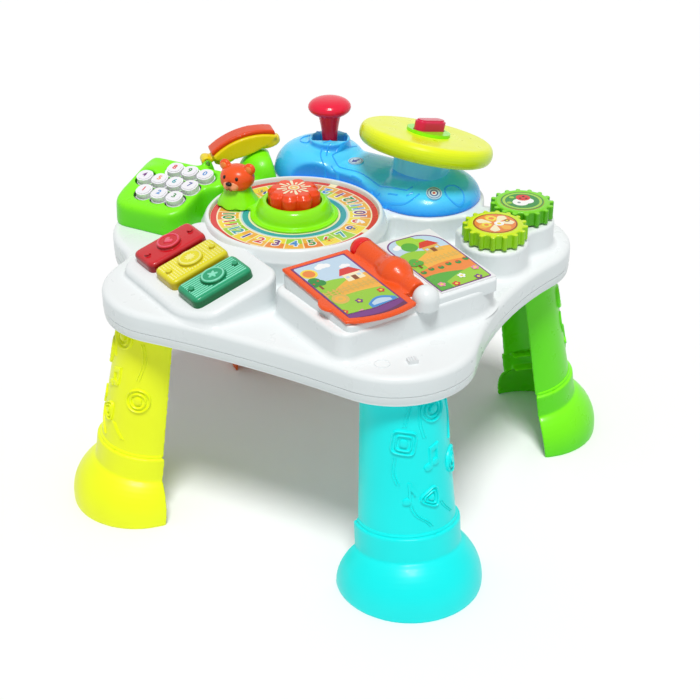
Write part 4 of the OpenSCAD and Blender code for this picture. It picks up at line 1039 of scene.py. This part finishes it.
# ---------------------------------------------------------------- console reliefs
dome = BVHTree.FromObject(SKIN["console_cover"], bpy.context.evaluated_depsgraph_get())


def on_dome(x, y, h):
    """A point h above the console over (x, y) of the model's frame, in millimetres of that frame."""
    hit, normal = dome.ray_cast(Vector((x * MM, (y - MID_Y) * MM, 0.45)), Vector((0, 0, -1)))[:2]
    if hit is None:
        return (x, y, DECK_Z)
    p = hit + normal * h * MM
    return (p.x / MM, p.y / MM + MID_Y, p.z / MM)


road = Shape()
lane = curve([(164, 76), (140, 78), (118, 84), (106, 66), (103, 38), (92, 10), (84, -14), (82, -36), (92, -44)], 60)
for off in (-7, 7):
    t = np.gradient(lane, axis=0)
    t /= np.linalg.norm(t, axis=1)[:, None]
    ridge(road, lane + np.stack([t[:, 1], -t[:, 0]], 1) * off, 1.8, 0.9, on_dome, closed=False)
for i in range(4, 56, 8):
    ridge(road, lane[i:i + 5], 1.8, 0.8, on_dome, closed=False)
for cx, cy, r in ((140, 118, 12), (112, -82, 11)):
    ridge(road, disc(cx, cy, r, 30), 2.0, 1.0, on_dome)
# The road lines glow a little: painted light.
road.piece("console_road", "table", [plastic("console_line", "2ea6f6", 0.25, 0.5, painted_glow=0.15)], matrix=MODEL,
           slot="console_blue")
sleeve = Shape()
sleeve.lathe([(31, -36), (32.3, -35.4), (32.3, -19.4), (31.4, -18.4), (30, -18.4), (30, -36)], 72, close=True)
# The sleeve glows a little: painted light.
sleeve.piece("console_sleeve", "table", [plastic("sleeve_blue", "62ccfb", 0.2, 0.8, painted_glow=0.12)], matrix=AT_WHEEL,
             slot="console_blue")

# ---------------------------------------------------------------- ledge marks
marks = Shape()
ridge(marks, disc(0, 0, 7.5, 36), 1.6, 0.8, lambda u, v, h: (u, v, LEDGE_Z + h))
marks.piece("ledge_ring", "table", [LOOK["white_plastic"]], matrix=MODEL @ move(-183, -142), slot="white_plastic")

# ---------------------------------------------------------------- light, floor, camera
scene = bpy.context.scene
scene.view_settings.view_transform = "Standard"


def studio():
    """A white floor under a soft sky; the sky looks white to the camera and in reflections."""
    me = bpy.data.meshes.new("floor")
    me.from_pydata([(-6, -6, 0), (6, -6, 0), (6, 6, 0), (-6, 6, 0)], [], [(0, 1, 2, 3)])
    floor = add_object("floor", me)
    m = bpy.data.materials.new("floor")
    m.use_nodes = True
    paint = m.node_tree.nodes["Principled BSDF"].inputs
    paint["Base Color"].default_value = (1, 1, 1, 1)
    paint["Roughness"].default_value, paint["Specular IOR Level"].default_value = 0.9, 0.1
    me.materials.append(m)
    world = bpy.data.worlds.new("studio")
    scene.world = world
    world.use_nodes = True
    w, link = world.node_tree.nodes, world.node_tree.links.new
    sky, seen = w["Background"], w.new("ShaderNodeBackground")
    sky.inputs["Color"].default_value = (1, 1, 1, 1)
    sky.inputs["Strength"].default_value = 0.34
    seen.inputs["Color"].default_value = (1, 1, 1, 1)
    seen.inputs["Strength"].default_value = 1.0
    ray, mix = w.new("ShaderNodeLightPath"), w.new("ShaderNodeMixShader")
    either, direct = w.new("ShaderNodeMath"), w.new("ShaderNodeMath")
    either.operation = direct.operation = "MAXIMUM"
    link(ray.outputs["Is Glossy Ray"], either.inputs[0])
    link(ray.outputs["Is Transmission Ray"], either.inputs[1])
    link(ray.outputs["Is Camera Ray"], direct.inputs[0])
    link(either.outputs["Value"], direct.inputs[1])
    link(direct.outputs["Value"], mix.inputs["Fac"])
    link(sky.outputs["Background"], mix.inputs[1])
    link(seen.outputs["Background"], mix.inputs[2])
    link(mix.outputs["Shader"], w["World Output"].inputs["Surface"])


def sun(name, place, spread, strength):
    light = bpy.data.lights.new(name, "SUN")
    light.angle, light.energy = math.radians(spread), strength
    add_object(name, light).rotation_euler = Vector(place).to_track_quat("Z", "Y").to_euler()


studio()
sun("key", (-0.38, -0.22, 1), spread=16, strength=2.3)

camera = bpy.data.cameras.new("camera")
camera.lens, camera.sensor_width = CAMERA_LENS, 36
eye = add_object("camera", camera)
eye.location = CAMERA_AT
eye.rotation_euler = (Vector(CAMERA_TO) - eye.location).to_track_quat("-Z", "Y").to_euler()
scene.camera = eye
